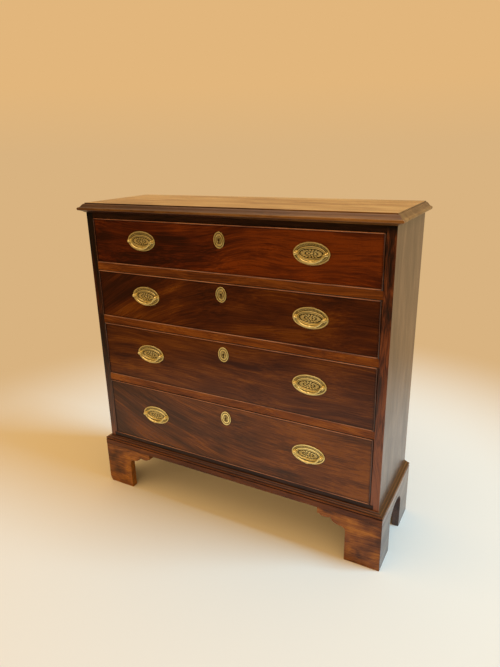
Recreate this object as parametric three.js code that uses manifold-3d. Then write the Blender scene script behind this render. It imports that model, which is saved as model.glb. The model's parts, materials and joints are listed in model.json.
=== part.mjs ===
// A bachelor's chest in mahogany: four graduated drawers under a moulded top, on bracket feet.
// Millimetres, +Z up. The front looks towards -Y, and the origin is on the floor under the chest's middle.
import * as THREE from "three";
import { mergeVertices } from "three/addons/utils/BufferGeometryUtils.js";
import Module from "manifold-3d";

const wasm = await Module();
wasm.setup();

// Fits between neighbouring pieces
const glueLine = 0.1;
const joineryGap = 0.3;
const overrun = 2;

// Case
const caseWidth = 898;
const caseDepth = 278;
const sideThickness = 23;
const backThickness = 10;
const backRebateWidth = 12;
const backBoardCount = 4;
const boardJointWidth = 1.6;
const boardJointDepth = 3;

// Top board
const topThickness = 26.5;
const topOverhangFront = 20;
const topOverhangSide = 17;
const topUnderMargin = 1;
const topUnderRise = 6.2;
const topUnderHollow = 0.7;
const topNoseInset = 3;
const topNoseHeight = 8;
const topFilletInset = 16.2;
const topFilletStep = 0.8;
const topFilletHeight = 2.4;
const ogeeSteps = 6;
const ogeeBulgeShare = 0.11;

// Drawer openings, from the top one down, and the rails between them
const openingHeights = [130.5, 143, 170.5, 191];
const topRailHeight = 15;
const railThickness = 21;
const railDepth = 60;
const railHousing = 6;
const railShoulder = 8;
const runnerWidth = 45;
const kickerWidth = 30;
const dustboardThickness = 8;
const stopLength = 40;
const stopDepth = 20;
const stopHeight = 5;
const stopPlaceShare = 0.3;

// Plinth frame with the case bottom
const plinthOverhang = 14.5;
const plinthFrameWidth = 62;
const plinthBackWidth = 45;
const fasciaHeight = 17;
const quirkHeight = 2.6;
const quirkDepth = 1.6;
const noseHeight = 5;
const slopeHeight = 5.9;
const slopeSteps = 4;
const slopeHollow = 0.8;
const plinthFillet = 1;
const bottomShow = 13;
const bottomThickness = 19;
const bottomHousing = 8;

// Bracket feet
const footHeight = 141;
const footBoard = 20;
const footFrontWidth = 97;
const footSideWidth = 90;
const footBackWidth = 84;
const footSpringDrop = 49;
const wingCove = 12;
const wingLobe = 30;
const wingLobeRise = 20;
const wingCuspLobe = 32;
const wingCuspDrop = 6;
const wingEnd = 6;
const sideCrownDrop = 16;
const backWingLength = 46;
const arcSteps = 5;
const cornerBlock = 34;
const cornerBlockLift = 4;
const railBlock = 20;
const wornWidth = 8;
const wornHeight = 20;

// Drawers
const drawerSideGap = 0.8;
const drawerFootGap = 0.8;
const drawerHeadGap = 1.2;
const runningGap = 0.3;
const frontThickness = 22;
const beadWidth = 3;
const beadProud = 1.8;
const beadRound = 0.8;
const drawerSideThickness = 9.5;
const drawerBackThickness = 9.5;
const drawerSideDrop = 6;
const drawerBackDrop = 4;
const drawerRearGap = 8;
const drawerBottomThickness = 7;
const drawerBottomLift = 8;
const grooveDepth = 4.5;
const frontLap = 5;
const tailPitch = 38;
const leastTails = 2;
const pinNarrow = 4;
const pinWide = 9;
const halfPin = 5;

// Handles
const handleInset = 196;
const handleRise = 7;
const plateHalfWidth = 47;
const plateHalfHeight = 27.5;
const plateEdge = 1.1;
const plateRim = 2.2;
const plateDish = 1;
const plateBorder = 1.9;
const plateBoss = 1.5;
const plateRimShares = [0.95, 0.87];
const plateBorderShares = [0.6, 0.55, 0.48];
const plateSegments = 20;
const postSpread = 77;
const postRadius = 2.7;
const postFootRadius = 4.2;
const postBallRadius = 4.1;
const postNeckShare = 0.8;
const postBallShare = 0.4;
const bailStandoff = 8.6;
const pivotHoleRadius = 1.9;
const pivotPinRadius = 1.4;
const shankRadius = 2;
const nutSize = 9;
const nutThickness = 4;
const bailArmRadius = 1.8;
const bailGripRadius = 2.7;
const bailKnopRadius = 3.4;
const bailKnopHalfLength = 2.4;
const bailKnopSlope = 1.2;
const bailDrop = 20;
const bailSteps = 8;
const bailSides = 6;
const postSides = 6;

// Locks and escutcheons, with how far each keyhole lies under the top edge of its opening
const keyDrops = [41, 33, 38, 41];
const escutcheonHalfWidth = 16.5;
const escutcheonHalfHeight = 21.5;
const escutcheonEdge = 0.9;
const escutcheonRim = 1.8;
const escutcheonDish = 0.9;
const escutcheonRimShares = [0.93, 0.82];
const keyholeRadius = 2.6;
const keyholeSlotWidth = 2.6;
const keyholeSlotLength = 9;
const keyholeSides = 8;
const lockWidth = 62;
const lockHeight = 60;
const lockDepth = 11;
const lockPlateWidth = 78;
const lockPlateThickness = 2.5;
const lockPlateDepth = 14;
const keyPinRadius = 1.1;
const keyWell = 8;
const boltWidth = 18.5;
const boltThickness = 5;
const boltLength = 24;
const boltSink = 0.5;
const mortiseDepth = 10;
const mortiseEase = 1;

// Finishes
const frontMahogany = new THREE.MeshStandardMaterial({ color: 0x4d1c0c, roughness: 0.3, metalness: 0 });
const caseMahogany = new THREE.MeshStandardMaterial({ color: 0x5a2812, roughness: 0.38, metalness: 0 });
const topMahogany = new THREE.MeshStandardMaterial({ color: 0x7a4a22, roughness: 0.34, metalness: 0 });
const footMahogany = new THREE.MeshStandardMaterial({ color: 0x7a441c, roughness: 0.45, metalness: 0 });
const drawerOak = new THREE.MeshStandardMaterial({ color: 0xa9875a, roughness: 0.7, metalness: 0 });
const backPine = new THREE.MeshStandardMaterial({ color: 0x9a7648, roughness: 0.8, metalness: 0 });
const brass = new THREE.MeshStandardMaterial({ color: 0xa98c46, roughness: 0.35, metalness: 1 });
const iron = new THREE.MeshStandardMaterial({ color: 0x56504a, roughness: 0.5, metalness: 1 });

// Places worked out from the sizes above. Depths count back from the front plane of the case.
const halfCase = caseWidth / 2;
const openingHalfWidth = halfCase - sideThickness;
const innerDepth = caseDepth - backThickness;
const footSpring = footHeight - footSpringDrop;
const moulding = quirkHeight + noseHeight + slopeHeight + plinthFillet;
const plinthTop = footHeight + fasciaHeight + moulding;
const caseFloor = plinthTop + bottomShow;
const plinthLedge = caseFloor - bottomThickness;
const openings = stackOpenings();
const caseTop = openings[0].top + topRailHeight;
const frontPlane = (topOverhangFront - caseDepth) / 2;
const boltDepth = frontThickness - lockDepth / 2;
const sideInner = openingHalfWidth - drawerSideGap - drawerSideThickness;
const sideOuter = openingHalfWidth - drawerSideGap;
const drawerLength = innerDepth - drawerRearGap;
const handlePlace = halfCase - handleInset;

// Bottom and top of each drawer opening, listed from the top one down.
function stackOpenings() {
  const found = [];
  let level = caseFloor;
  for (const height of [...openingHeights].reverse()) {
    found.unshift({ bottom: level, top: level + height, height });
    level += height + railThickness;
  }
  return found;
}

// A closed geometry as a solid that can be joined and cut.
function solid(geometry) {
  const bare = geometry.clone();
  bare.deleteAttribute("normal");
  bare.deleteAttribute("uv");
  const merged = mergeVertices(bare);
  const corners = [];
  for (let i = 0; i < merged.index.count; i += 3) {
    const [a, b, c] = [merged.index.getX(i), merged.index.getX(i + 1), merged.index.getX(i + 2)];
    if (a !== b && b !== c && c !== a) corners.push(a, b, c);
  }
  const vertProperties = merged.attributes.position.array;
  const triVerts = new Uint32Array(corners);
  return new wasm.Manifold(new wasm.Mesh({ numProp: 3, vertProperties, triVerts }));
}

// The surface of a solid as a faceted geometry.
function surface(body) {
  const mesh = body.getMesh();
  const geometry = new THREE.BufferGeometry();
  geometry.setAttribute("position", new THREE.BufferAttribute(Float32Array.from(mesh.vertProperties), 3));
  geometry.setIndex(new THREE.BufferAttribute(Uint32Array.from(mesh.triVerts), 1));
  const faceted = geometry.toNonIndexed();
  faceted.computeVertexNormals();
  return faceted;
}

// Two distances from the middle of the chest as a rising pair of places on its left or right half.
function handed(side, near, far) {
  return [side * near, side * far].sort((a, b) => a - b);
}

// A squared board between two places on each axis.
function board([x0, x1], [y0, y1], [z0, z1]) {
  const box = new THREE.BoxGeometry(x1 - x0, y1 - y0, z1 - z0);
  return solid(box.translate((x0 + x1) / 2, (y0 + y1) / 2, (z0 + z1) / 2));
}

function outline(points) {
  return new THREE.Shape(points.map(([u, v]) => new THREE.Vector2(u, v)));
}

// An outline drawn in depth and height, carried across the chest.
function alongX(points, x0, x1) {
  const bar = new THREE.ExtrudeGeometry(outline(points), { depth: x1 - x0, bevelEnabled: false });
  const turn = new THREE.Matrix4().makeBasis(unit(0, 1, 0), unit(0, 0, 1), unit(1, 0, 0));
  return solid(bar.applyMatrix4(turn).translate(x0, 0, 0));
}

// An outline drawn in width and height, carried from front to back.
function alongY(points, y0, y1) {
  const bar = new THREE.ExtrudeGeometry(outline(points), { depth: y1 - y0, bevelEnabled: false });
  const turn = new THREE.Matrix4().makeBasis(unit(1, 0, 0), unit(0, 0, 1), unit(0, -1, 0));
  return solid(bar.applyMatrix4(turn).translate(0, y1, 0));
}

// An outline drawn in width and depth, carried upwards.
function alongZ(points, z0, z1) {
  const bar = new THREE.ExtrudeGeometry(outline(points), { depth: z1 - z0, bevelEnabled: false });
  return solid(bar.translate(0, 0, z0));
}

function unit(x, y, z) {
  return new THREE.Vector3(x, y, z);
}

// A skin over rings of equal count, each listed anticlockwise as seen from the end it grows towards.
function loft(rings) {
  const count = rings[0].length;
  const index = [];
  for (let k = 1; k + 1 < count; k++) {
    index.push(0, k + 1, k);
    const last = (rings.length - 1) * count;
    index.push(last, last + k, last + k + 1);
  }
  for (let i = 0; i + 1 < rings.length; i++) {
    for (let k = 0; k < count; k++) {
      const here = i * count + k;
      const next = i * count + ((k + 1) % count);
      index.push(here, next, next + count, here, next + count, here + count);
    }
  }
  const geometry = new THREE.BufferGeometry();
  geometry.setAttribute("position", new THREE.Float32BufferAttribute(rings.flat(2), 3));
  geometry.setIndex(index);
  return solid(geometry);
}

// A round rod from one place to another along one axis, with flats for its sides.
function rod(axis, radius, from, to, sides) {
  const shape = new THREE.CylinderGeometry(radius, radius, to - from, sides);
  shape.translate(0, (from + to) / 2, 0);
  if (axis === "x") shape.rotateZ(-Math.PI / 2);
  if (axis === "z") shape.rotateX(Math.PI / 2);
  return solid(shape);
}

// A turned profile of radius and forward height about the line that points out of the drawer front.
function turned(profile, sides, halfWidth = 1, halfHeight = 1) {
  const points = profile.map(([radius, forward]) => new THREE.Vector2(radius, -forward));
  const shape = new THREE.LatheGeometry(points.reverse(), sides);
  return solid(shape.scale(halfWidth, 1, halfHeight));
}

// Points of an arc about a centre, from one angle to another, both ends included.
function arc(centre, radii, from, to) {
  return Array.from({ length: arcSteps + 1 }, (_, i) => {
    const angle = from + ((to - from) * i) / arcSteps;
    return [centre[0] + radii[0] * Math.cos(angle), centre[1] + radii[1] * Math.sin(angle)];
  });
}

function addPiece(group, name, body, material) {
  const mesh = new THREE.Mesh(surface(body), material);
  mesh.name = name;
  group.add(mesh);
  return mesh;
}

// One level of a moulded board, which stands out past the case in front and at both sides.
function mouldedLevel(front, side, height) {
  const x = halfCase + side;
  return [[-x, -front, height], [x, -front, height], [x, caseDepth, height], [-x, caseDepth, height]];
}

// Recess for a lock bolt in the underside of the rail above a drawer.
function boltMortise(railUnderside) {
  const halfWidth = boltWidth / 2 + mortiseEase;
  const halfDepth = boltThickness / 2 + mortiseEase;
  const depths = [boltDepth - halfDepth, boltDepth + halfDepth];
  return board([-halfWidth, halfWidth], depths, [railUnderside - overrun, railUnderside + mortiseDepth]);
}

// Hollow slope under the top board's nose, as insets from the nose with heights.
function topUnderSlope() {
  const start = topOverhangSide - topUnderMargin;
  return Array.from({ length: slopeSteps + 1 }, (_, i) => {
    const t = i / slopeSteps;
    const hollow = topUnderHollow * Math.sin(Math.PI * t);
    return [start + (topNoseInset - start) * t, topUnderRise * t + hollow];
  });
}

// Ogee from the top of the nose up to the fillet: hollow below and round above.
function topOgee(foot, crown) {
  return Array.from({ length: ogeeSteps + 1 }, (_, i) => {
    const t = i / ogeeSteps;
    const rise = t - ogeeBulgeShare * Math.sin(2 * Math.PI * t);
    return [topNoseInset + (topFilletInset - topNoseInset) * t, foot + (crown - foot) * rise];
  });
}

// Top board with its moulded edge, the rail under its front and the kickers over the top drawer's sides.
function topBoard() {
  const quarter = Math.PI / 2;
  const middle = [topNoseInset, topUnderRise + topNoseHeight / 2];
  const nose = [topNoseInset, topNoseHeight / 2];
  const crown = topThickness - topFilletHeight;
  const profile = [
    ...topUnderSlope(),
    ...arc(middle, nose, 3 * quarter, 2 * quarter).slice(1),
    ...arc(middle, nose, 2 * quarter, quarter).slice(1),
    ...topOgee(topUnderRise + topNoseHeight, crown).slice(1),
    [topFilletInset + topFilletStep, crown],
    [topFilletInset + topFilletStep, topThickness],
  ];
  const levels = profile.map(([inset, rise]) => {
    return mouldedLevel(topOverhangFront - inset, topOverhangSide - inset, caseTop + rise);
  });
  const span = openingHalfWidth - glueLine;
  const under = openings[0].top;
  const heights = [under, caseTop + overrun];
  const kickerDepths = [railDepth - overrun, innerDepth - glueLine];
  let body = loft(levels).add(board([-span, span], [0, railDepth], heights));
  for (const side of [-1, 1]) {
    body = body.add(board(handed(side, span - kickerWidth, span), kickerDepths, heights));
  }
  return body.subtract(boltMortise(under));
}

// Upright side board, housed for the rails and rebated for the bottom and the back.
function caseSide(side) {
  const across = (near, far) => handed(side, near, far);
  const whole = [0, caseDepth];
  const heights = [plinthLedge + glueLine, caseTop - glueLine];
  let body = board(across(openingHalfWidth, halfCase), whole, heights);
  const housing = across(openingHalfWidth - overrun, openingHalfWidth + railHousing);
  for (const opening of openings.slice(0, -1)) {
    const railHeights = [opening.bottom - railThickness - glueLine, opening.bottom + glueLine];
    body = body.subtract(board(housing, [railShoulder - glueLine, caseDepth + overrun], railHeights));
  }
  const rebate = across(openingHalfWidth - overrun, openingHalfWidth + bottomHousing);
  const underside = plinthLedge - overrun;
  body = body.subtract(board(rebate, [-overrun, caseDepth + overrun], [underside, caseFloor + glueLine]));
  const backRebate = across(openingHalfWidth - overrun, openingHalfWidth + backRebateWidth);
  const backDepths = [innerDepth - glueLine, caseDepth + overrun];
  return body.subtract(board(backRebate, backDepths, [underside, caseTop + overrun]));
}

// Back of upright boards, set in the rebates of the sides, with an open joint line between boards.
function caseBack() {
  const half = openingHalfWidth + backRebateWidth - glueLine;
  const heights = [plinthLedge + glueLine, caseTop - glueLine];
  let body = board([-half, half], [innerDepth, caseDepth], heights);
  const cutDepths = [caseDepth - boardJointDepth, caseDepth + overrun];
  const cutHeights = [heights[0] - overrun, heights[1] + overrun];
  for (let i = 1; i < backBoardCount; i++) {
    const x = -half + (2 * half * i) / backBoardCount;
    const joint = [x - boardJointWidth / 2, x + boardJointWidth / 2];
    body = body.subtract(board(joint, cutDepths, cutHeights));
  }
  return body;
}

// The two small blocks that a drawer front meets when it is shut.
function drawerStops(level) {
  const depths = [frontThickness + joineryGap, frontThickness + joineryGap + stopDepth];
  return [-1, 1].map((side) => {
    const centre = side * stopPlaceShare * caseWidth;
    const widths = [centre - stopLength / 2, centre + stopLength / 2];
    return board(widths, depths, [level - overrun, level + stopHeight]);
  });
}

// Rail between two drawers, with its runners and the dustboard, housed in both sides.
function drawerRail(top) {
  const under = top - railThickness;
  const long = openingHalfWidth + railHousing - glueLine;
  const short = openingHalfWidth - glueLine;
  const rear = innerDepth - glueLine;
  let body = board([-long, long], [railShoulder, rear], [under, top]);
  body = body.add(board([-short, short], [0, railShoulder + overrun], [under, top]));
  const hollow = openingHalfWidth - runnerWidth;
  const hollowHeights = [under - overrun, top - dustboardThickness];
  body = body.subtract(board([-hollow, hollow], [railDepth, rear + overrun], hollowHeights));
  for (const stop of drawerStops(top)) body = body.add(stop);
  return body.subtract(boltMortise(under));
}

// Slope of the plinth moulding, from its nose in to the case, hollowed a little.
function plinthSlope(nose) {
  return Array.from({ length: slopeSteps + 1 }, (_, i) => {
    const t = i / slopeSteps;
    const hollow = slopeHollow * Math.sin(Math.PI * t);
    return [plinthOverhang * (1 - t), nose + slopeHeight * t - hollow];
  });
}

// Moulded plinth frame with the bottom board of the case glued down on it.
function plinth() {
  const fascia = footHeight + fasciaHeight;
  const nose = fascia + quirkHeight + noseHeight;
  const profile = [
    [plinthOverhang, footHeight],
    [plinthOverhang, fascia],
    [plinthOverhang - quirkDepth, fascia],
    [plinthOverhang - quirkDepth, fascia + quirkHeight],
    [plinthOverhang, fascia + quirkHeight],
    ...plinthSlope(nose),
    [0, plinthTop],
  ];
  const levels = profile.map(([out, z]) => mouldedLevel(out, out, z));
  const ends = openingHalfWidth + bottomHousing - glueLine;
  const bottom = board([-ends, ends], [0, innerDepth - glueLine], [footHeight + overrun, caseFloor]);
  const seat = [plinthLedge, caseFloor + overrun];
  const rear = caseDepth + overrun;
  const wide = halfCase + glueLine;
  let body = loft(levels).add(bottom).subtract(board([-wide, wide], [innerDepth - glueLine, rear], seat));
  for (const side of [-1, 1]) {
    body = body.subtract(board(handed(side, ends, wide), [-glueLine, rear], seat));
  }
  const open = halfCase + plinthOverhang - plinthFrameWidth;
  const openDepths = [plinthFrameWidth - plinthOverhang, caseDepth - plinthBackWidth];
  body = body.subtract(board([-open, open], openDepths, [footHeight - overrun, plinthLedge]));
  for (const stop of drawerStops(caseFloor)) body = body.add(stop);
  return body;
}

// Lower edge of a front bracket: straight leg, hollow corner, long lobe, cusp and short lobe.
function frontBracket(legWidth) {
  const top = footHeight - glueLine;
  const lobeStart = legWidth + wingCove;
  const lobeBase = footSpring + wingCove;
  const cusp = [lobeStart + wingLobe, lobeBase + wingLobeRise];
  const shortLobe = wingCuspLobe / 2;
  const quarter = Math.PI / 2;
  return [
    [0, 0],
    [legWidth, 0],
    ...arc([lobeStart, footSpring], [wingCove, wingCove], 2 * quarter, quarter),
    ...arc([lobeStart, cusp[1]], [wingLobe, wingLobeRise], -quarter, 0).slice(1),
    ...arc([cusp[0] + shortLobe, cusp[1]], [shortLobe, wingCuspDrop], 2 * quarter, 4 * quarter).slice(1),
    [cusp[0] + wingCuspLobe + wingEnd, cusp[1]],
    [cusp[0] + wingCuspLobe + wingEnd, top],
    [0, top],
  ];
}

// Lower edge of a side bracket: straight leg and half of the arch that it shares with the other foot.
function sideBracket(legWidth, length) {
  const top = footHeight - glueLine;
  const centre = [length, footSpring];
  const radii = [length - legWidth, footSpringDrop - sideCrownDrop];
  const hollow = arc(centre, radii, Math.PI, Math.PI / 2);
  return [[0, 0], [legWidth, 0], ...hollow, [length, top], [0, top]];
}

// Lower edge of a back bracket: straight leg and a quarter hollow up to the plinth.
function backBracket(legWidth) {
  const top = footHeight - glueLine;
  const reach = legWidth + backWingLength;
  const radii = [backWingLength, footSpringDrop - sideCrownDrop];
  const hollow = arc([reach, footSpring], radii, Math.PI, Math.PI / 2);
  return [[0, 0], [legWidth, 0], ...hollow, [reach, top], [0, top]];
}

// Bracket foot for the left front corner or, with back set, the left back corner. Right feet mirror them.
function bracketFoot(back) {
  const outerX = -halfCase - plinthOverhang;
  const outerY = back ? caseDepth : -plinthOverhang;
  const inward = back ? -1 : 1;
  const depths = (near, far) => [outerY + inward * near, outerY + inward * far].sort((a, b) => a - b);
  const half = (caseDepth + plinthOverhang) / 2 - glueLine;
  const top = footHeight - glueLine;
  const face = back ? backBracket(footBackWidth) : frontBracket(footFrontWidth);
  const facePoints = face.map(([u, v]) => [outerX + u, v]);
  const cheekPoints = sideBracket(footSideWidth, half).map(([u, v]) => [outerY + inward * u, v]);
  if (back) cheekPoints.reverse();
  let body = alongY(facePoints, ...depths(0, footBoard));
  body = body.add(alongX(cheekPoints, outerX, outerX + footBoard));
  const inner = footBoard - overrun;
  const corner = [outerX + inner, outerX + footBoard + cornerBlock];
  body = body.add(board(corner, depths(inner, footBoard + cornerBlock), [cornerBlockLift, top]));
  const along = [outerX + inner, outerX + footFrontWidth + wingCove];
  body = body.add(board(along, depths(inner, footBoard + railBlock), [top - railBlock, top]));
  const across = [outerX + inner, outerX + footBoard + railBlock];
  return body.add(board(across, depths(inner, footSideWidth + wingCove), [top - railBlock, top]));
}

// The corner that years of dragging have rubbed off one front foot.
function wornCorner() {
  const outerX = -halfCase - plinthOverhang;
  const points = [
    [outerX - overrun, -overrun],
    [outerX + wornWidth, -overrun],
    [outerX + wornWidth, 0],
    [outerX, wornHeight],
    [outerX - overrun, wornHeight],
  ];
  return alongY(points, -plinthOverhang - overrun, footBoard);
}

// Heights of the pins of a dovetail joint, half pins left out, spread evenly between two heights.
function pinHeights(low, high) {
  const tails = Math.max(leastTails, Math.round((high - low) / tailPitch));
  const pitch = (high - low) / tails;
  return Array.from({ length: tails - 1 }, (_, i) => low + pitch * (i + 1));
}

// Heights that one drawer's boards share, counted from the bottom of its opening.
function drawerHeights(opening) {
  const frontTop = opening.height - drawerHeadGap;
  const sideTop = frontTop - drawerSideDrop;
  const groove = drawerBottomLift + runningGap;
  const backFoot = groove + drawerBottomThickness + joineryGap;
  return { frontTop, sideTop, groove, backFoot, backTop: sideTop - drawerBackDrop };
}

// Tails of a drawer side as outline points along its front end, grown all round by an ease.
function frontTails(heights, ease) {
  const low = runningGap;
  const pins = pinHeights(low, heights.sideTop);
  const near = frontLap + joineryGap - ease;
  const starts = [low + halfPin, ...pins.map((z) => z + pinNarrow / 2)];
  const ends = [...pins.map((z) => z - pinNarrow / 2), heights.sideTop - halfPin];
  const flare = (pinWide - pinNarrow) / 2;
  return starts.map((start, i) => [
    [frontThickness, start + flare - ease],
    [near, start - ease],
    [near, ends[i] + ease],
    [frontThickness, ends[i] - flare + ease],
  ]);
}

// Pins of a drawer back as outline points across its end, shrunk all round by an ease.
function backPins(heights, ease) {
  const inner = drawerLength - drawerBackThickness;
  return pinHeights(heights.backFoot, heights.backTop).map((z) => [
    [inner, z - pinWide / 2 + ease],
    [drawerLength, z - pinNarrow / 2 + ease],
    [drawerLength, z + pinNarrow / 2 - ease],
    [inner, z + pinWide / 2 - ease],
  ]);
}

// Drawer front with its cock bead, dovetail sockets, grooves, lock recess and holes.
function drawerFront(heights, keyDrop, handleHeight) {
  const level = (inset, depth) => {
    const x = sideOuter - inset;
    const z0 = drawerFootGap + inset;
    const z1 = heights.frontTop - inset;
    return [[-x, depth, z0], [x, depth, z0], [x, depth, z1], [-x, depth, z1]];
  };
  let body = loft([
    level(0, frontThickness),
    level(0, beadRound - beadProud),
    level(beadRound, -beadProud),
    level(beadWidth - beadRound, -beadProud),
    level(beadWidth, beadRound - beadProud),
    level(beadWidth, 0),
  ]);
  for (const tail of frontTails(heights, joineryGap)) {
    const [[, a], [, b], [, c], [, d]] = tail;
    const [near, far, back] = [tail[1][0], frontThickness, frontThickness + overrun];
    const points = [[back, d], [far, d], [near, c], [near, b], [far, a], [back, a]];
    body = body.subtract(alongX(points, sideInner - glueLine, sideOuter + overrun));
    body = body.subtract(alongX(points, -sideOuter - overrun, -sideInner + glueLine));
  }
  const grooveDepths = [frontThickness - grooveDepth, frontThickness + overrun];
  const groove = [heights.groove, heights.groove + drawerBottomThickness + joineryGap];
  body = body.subtract(board([-sideInner, sideInner], grooveDepths, groove));
  body = body.subtract(lockRecess(heights.frontTop));
  const keyHeight = heights.frontTop + drawerHeadGap - keyDrop;
  body = body.subtract(keyhole(keyHeight, joineryGap, -overrun, frontThickness));
  const holeRadius = shankRadius + joineryGap + glueLine;
  const hole = rod("y", holeRadius, -overrun, frontThickness + overrun, postSides);
  for (const x of postPlaces()) body = body.subtract(hole.translate([x, 0, handleHeight]));
  return body;
}

// Where the posts of both handles of a drawer pass through its front.
function postPlaces() {
  const handles = [-handlePlace, handlePlace];
  return handles.flatMap((x) => [x - postSpread / 2, x + postSpread / 2]);
}

// Space for the lock case and its cover plate, cut from the back and the top edge of a drawer front.
function lockRecess(top) {
  const half = lockWidth / 2 + joineryGap;
  const depths = [frontThickness - lockDepth - joineryGap, frontThickness + overrun];
  const body = board([-half, half], depths, [top - lockHeight - joineryGap, top + overrun]);
  const plateHalf = lockPlateWidth / 2 + joineryGap;
  const plateDepths = [frontThickness - lockPlateDepth - joineryGap, frontThickness + overrun];
  const plateHeights = [top - lockPlateThickness - joineryGap, top + overrun];
  return body.add(board([-plateHalf, plateHalf], plateDepths, plateHeights));
}

// Keyhole, round above with a straight slot below, carried from one depth to another.
function keyhole(height, ease, from, to) {
  const half = keyholeSlotWidth / 2 + ease;
  const slot = board([-half, half], [from, to], [height - keyholeSlotLength - ease, height]);
  return rod("y", keyholeRadius + ease, from, to, keyholeSides).translate([0, 0, height]).add(slot);
}

// Drawer side with tails at the front, pin sockets at the back and a groove for the bottom.
function drawerSide(side, heights) {
  const shoulder = frontThickness + glueLine;
  const tails = frontTails(heights, 0).flat();
  const sockets = backPins(heights, 0).reverse();
  const points = [
    [shoulder, runningGap],
    ...tails.map(([y, z]) => [Math.min(y + glueLine, shoulder), z]),
    [shoulder, heights.sideTop],
    [drawerLength, heights.sideTop],
    ...sockets.flatMap(([foot, tipFoot, tipHead, head]) => [tipHead, head, foot, tipFoot]),
    [drawerLength, runningGap],
  ].reverse();
  const cut = handed(side, sideInner - overrun, sideInner + grooveDepth);
  const cutDepths = [frontThickness, drawerLength + overrun];
  const groove = [heights.groove, heights.groove + drawerBottomThickness + joineryGap];
  return alongX(points, ...handed(side, sideInner, sideOuter)).subtract(board(cut, cutDepths, groove));
}

// Drawer back standing on the bottom board, with its pins reaching through both sides.
function drawerBack(heights) {
  const span = sideInner - glueLine;
  const depths = [drawerLength - drawerBackThickness + joineryGap, drawerLength];
  let body = board([-span, span], depths, [heights.backFoot, heights.backTop]);
  for (const pin of backPins(heights, joineryGap)) {
    const [[, a], [y, b], [, c], [, d]] = pin;
    const points = [[depths[0], a], [y, b], [y, c], [depths[0], d]];
    body = body.add(alongX(points, span - overrun, sideOuter));
    body = body.add(alongX(points, -sideOuter, overrun - span));
  }
  return body;
}

// Drawer bottom, tongued into the front and slid along the grooves of the sides.
function drawerBottom(heights) {
  const wide = sideInner + grooveDepth - joineryGap;
  const tongue = sideInner - joineryGap;
  const shoulder = frontThickness + joineryGap;
  const nose = frontThickness - grooveDepth + joineryGap;
  const points = [
    [-tongue, nose],
    [tongue, nose],
    [tongue, shoulder],
    [wide, shoulder],
    [wide, drawerLength],
    [-wide, drawerLength],
    [-wide, shoulder],
    [-tongue, shoulder],
  ];
  const low = heights.groove + glueLine;
  return alongZ(points, low, low + drawerBottomThickness);
}

// Oval plate with a raised rim and inner border, its two posts, their shanks and nuts.
function handlePlate() {
  const profile = [
    [0, glueLine],
    [1, glueLine],
    [1, plateEdge],
    [plateRimShares[0], plateRim],
    [plateRimShares[1], plateDish],
    [plateBorderShares[0], plateDish],
    [plateBorderShares[1], plateBorder],
    [plateBorderShares[2], plateDish],
    [0, plateBoss],
  ];
  let body = turned(profile, plateSegments, plateHalfWidth, plateHalfHeight);
  const back = -frontThickness - glueLine;
  const post = [
    [0, back - nutThickness - plateEdge],
    [shankRadius, back - nutThickness - plateEdge],
    [shankRadius, glueLine],
    [postFootRadius, plateEdge],
    [postRadius, plateRim + plateEdge],
    [postRadius, bailStandoff - postBallRadius * postNeckShare],
    [postBallRadius, bailStandoff - postBallRadius * postBallShare],
    [postBallRadius, bailStandoff + postBallRadius * postBallShare],
    [0, bailStandoff + postBallRadius],
  ];
  const nutHalf = nutSize / 2;
  const holeEnd = postBallRadius + overrun;
  const hole = rod("x", pivotHoleRadius, -holeEnd, holeEnd, bailSides);
  for (const x of [-postSpread / 2, postSpread / 2]) {
    const nut = board([x - nutHalf, x + nutHalf], [-back, -back + nutThickness], [-nutHalf, nutHalf]);
    body = body.add(turned(post, postSides).translate([x, 0, 0])).add(nut);
    body = body.subtract(hole.translate([x, -bailStandoff, 0]));
  }
  return body;
}

// Swinging bail: a pin into each post, and a drooping half oval that swells towards a knop in the middle.
function bail() {
  const pinEnd = postSpread / 2 + postBallRadius;
  const arm = postSpread / 2 - postBallRadius - bailArmRadius - joineryGap - glueLine;
  const path = [[pinEnd, 0, pivotPinRadius], [arm + bailArmRadius, 0, pivotPinRadius]];
  for (let i = 0; i <= bailSteps; i++) {
    const angle = (Math.PI * i) / (2 * bailSteps);
    const swell = bailArmRadius + (bailGripRadius - bailArmRadius) * Math.sin(angle);
    path.push([arm * Math.cos(angle), -bailDrop * Math.sin(angle), swell]);
  }
  const gripEnd = path.pop();
  const rightHalf = path.filter(([x]) => x > bailKnopHalfLength + 2 * bailKnopSlope);
  rightHalf.push([bailKnopHalfLength + bailKnopSlope, gripEnd[1], bailGripRadius]);
  rightHalf.push([bailKnopHalfLength, gripEnd[1], bailKnopRadius]);
  const leftHalf = [...rightHalf].reverse().map(([x, z, radius]) => [-x, z, radius]);
  const rings = [...rightHalf, ...leftHalf];
  return loft(rings.map((place, i) => bailRing(rings, place, i)));
}

// Ring of points round the bail's path, square to the way the path runs there.
function bailRing(path, [x, z, radius], i) {
  const before = path[Math.max(i - 1, 0)];
  const after = path[Math.min(i + 1, path.length - 1)];
  const run = Math.hypot(after[0] - before[0], after[1] - before[1]);
  const normal = [(after[1] - before[1]) / run, (before[0] - after[0]) / run];
  return Array.from({ length: bailSides }, (_, k) => {
    const angle = (2 * Math.PI * k) / bailSides;
    const out = radius * Math.cos(angle);
    return [x + out * normal[0], radius * Math.sin(angle), z + out * normal[1]];
  });
}

// Oval keyhole plate with a raised rim.
function escutcheon() {
  const profile = [
    [0, glueLine],
    [1, glueLine],
    [1, escutcheonEdge],
    [escutcheonRimShares[0], escutcheonRim],
    [escutcheonRimShares[1], escutcheonDish],
    [0, escutcheonDish],
  ];
  const body = turned(profile, plateSegments, escutcheonHalfWidth, escutcheonHalfHeight);
  return body.subtract(keyhole(0, 0, -escutcheonRim - overrun, overrun));
}

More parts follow.
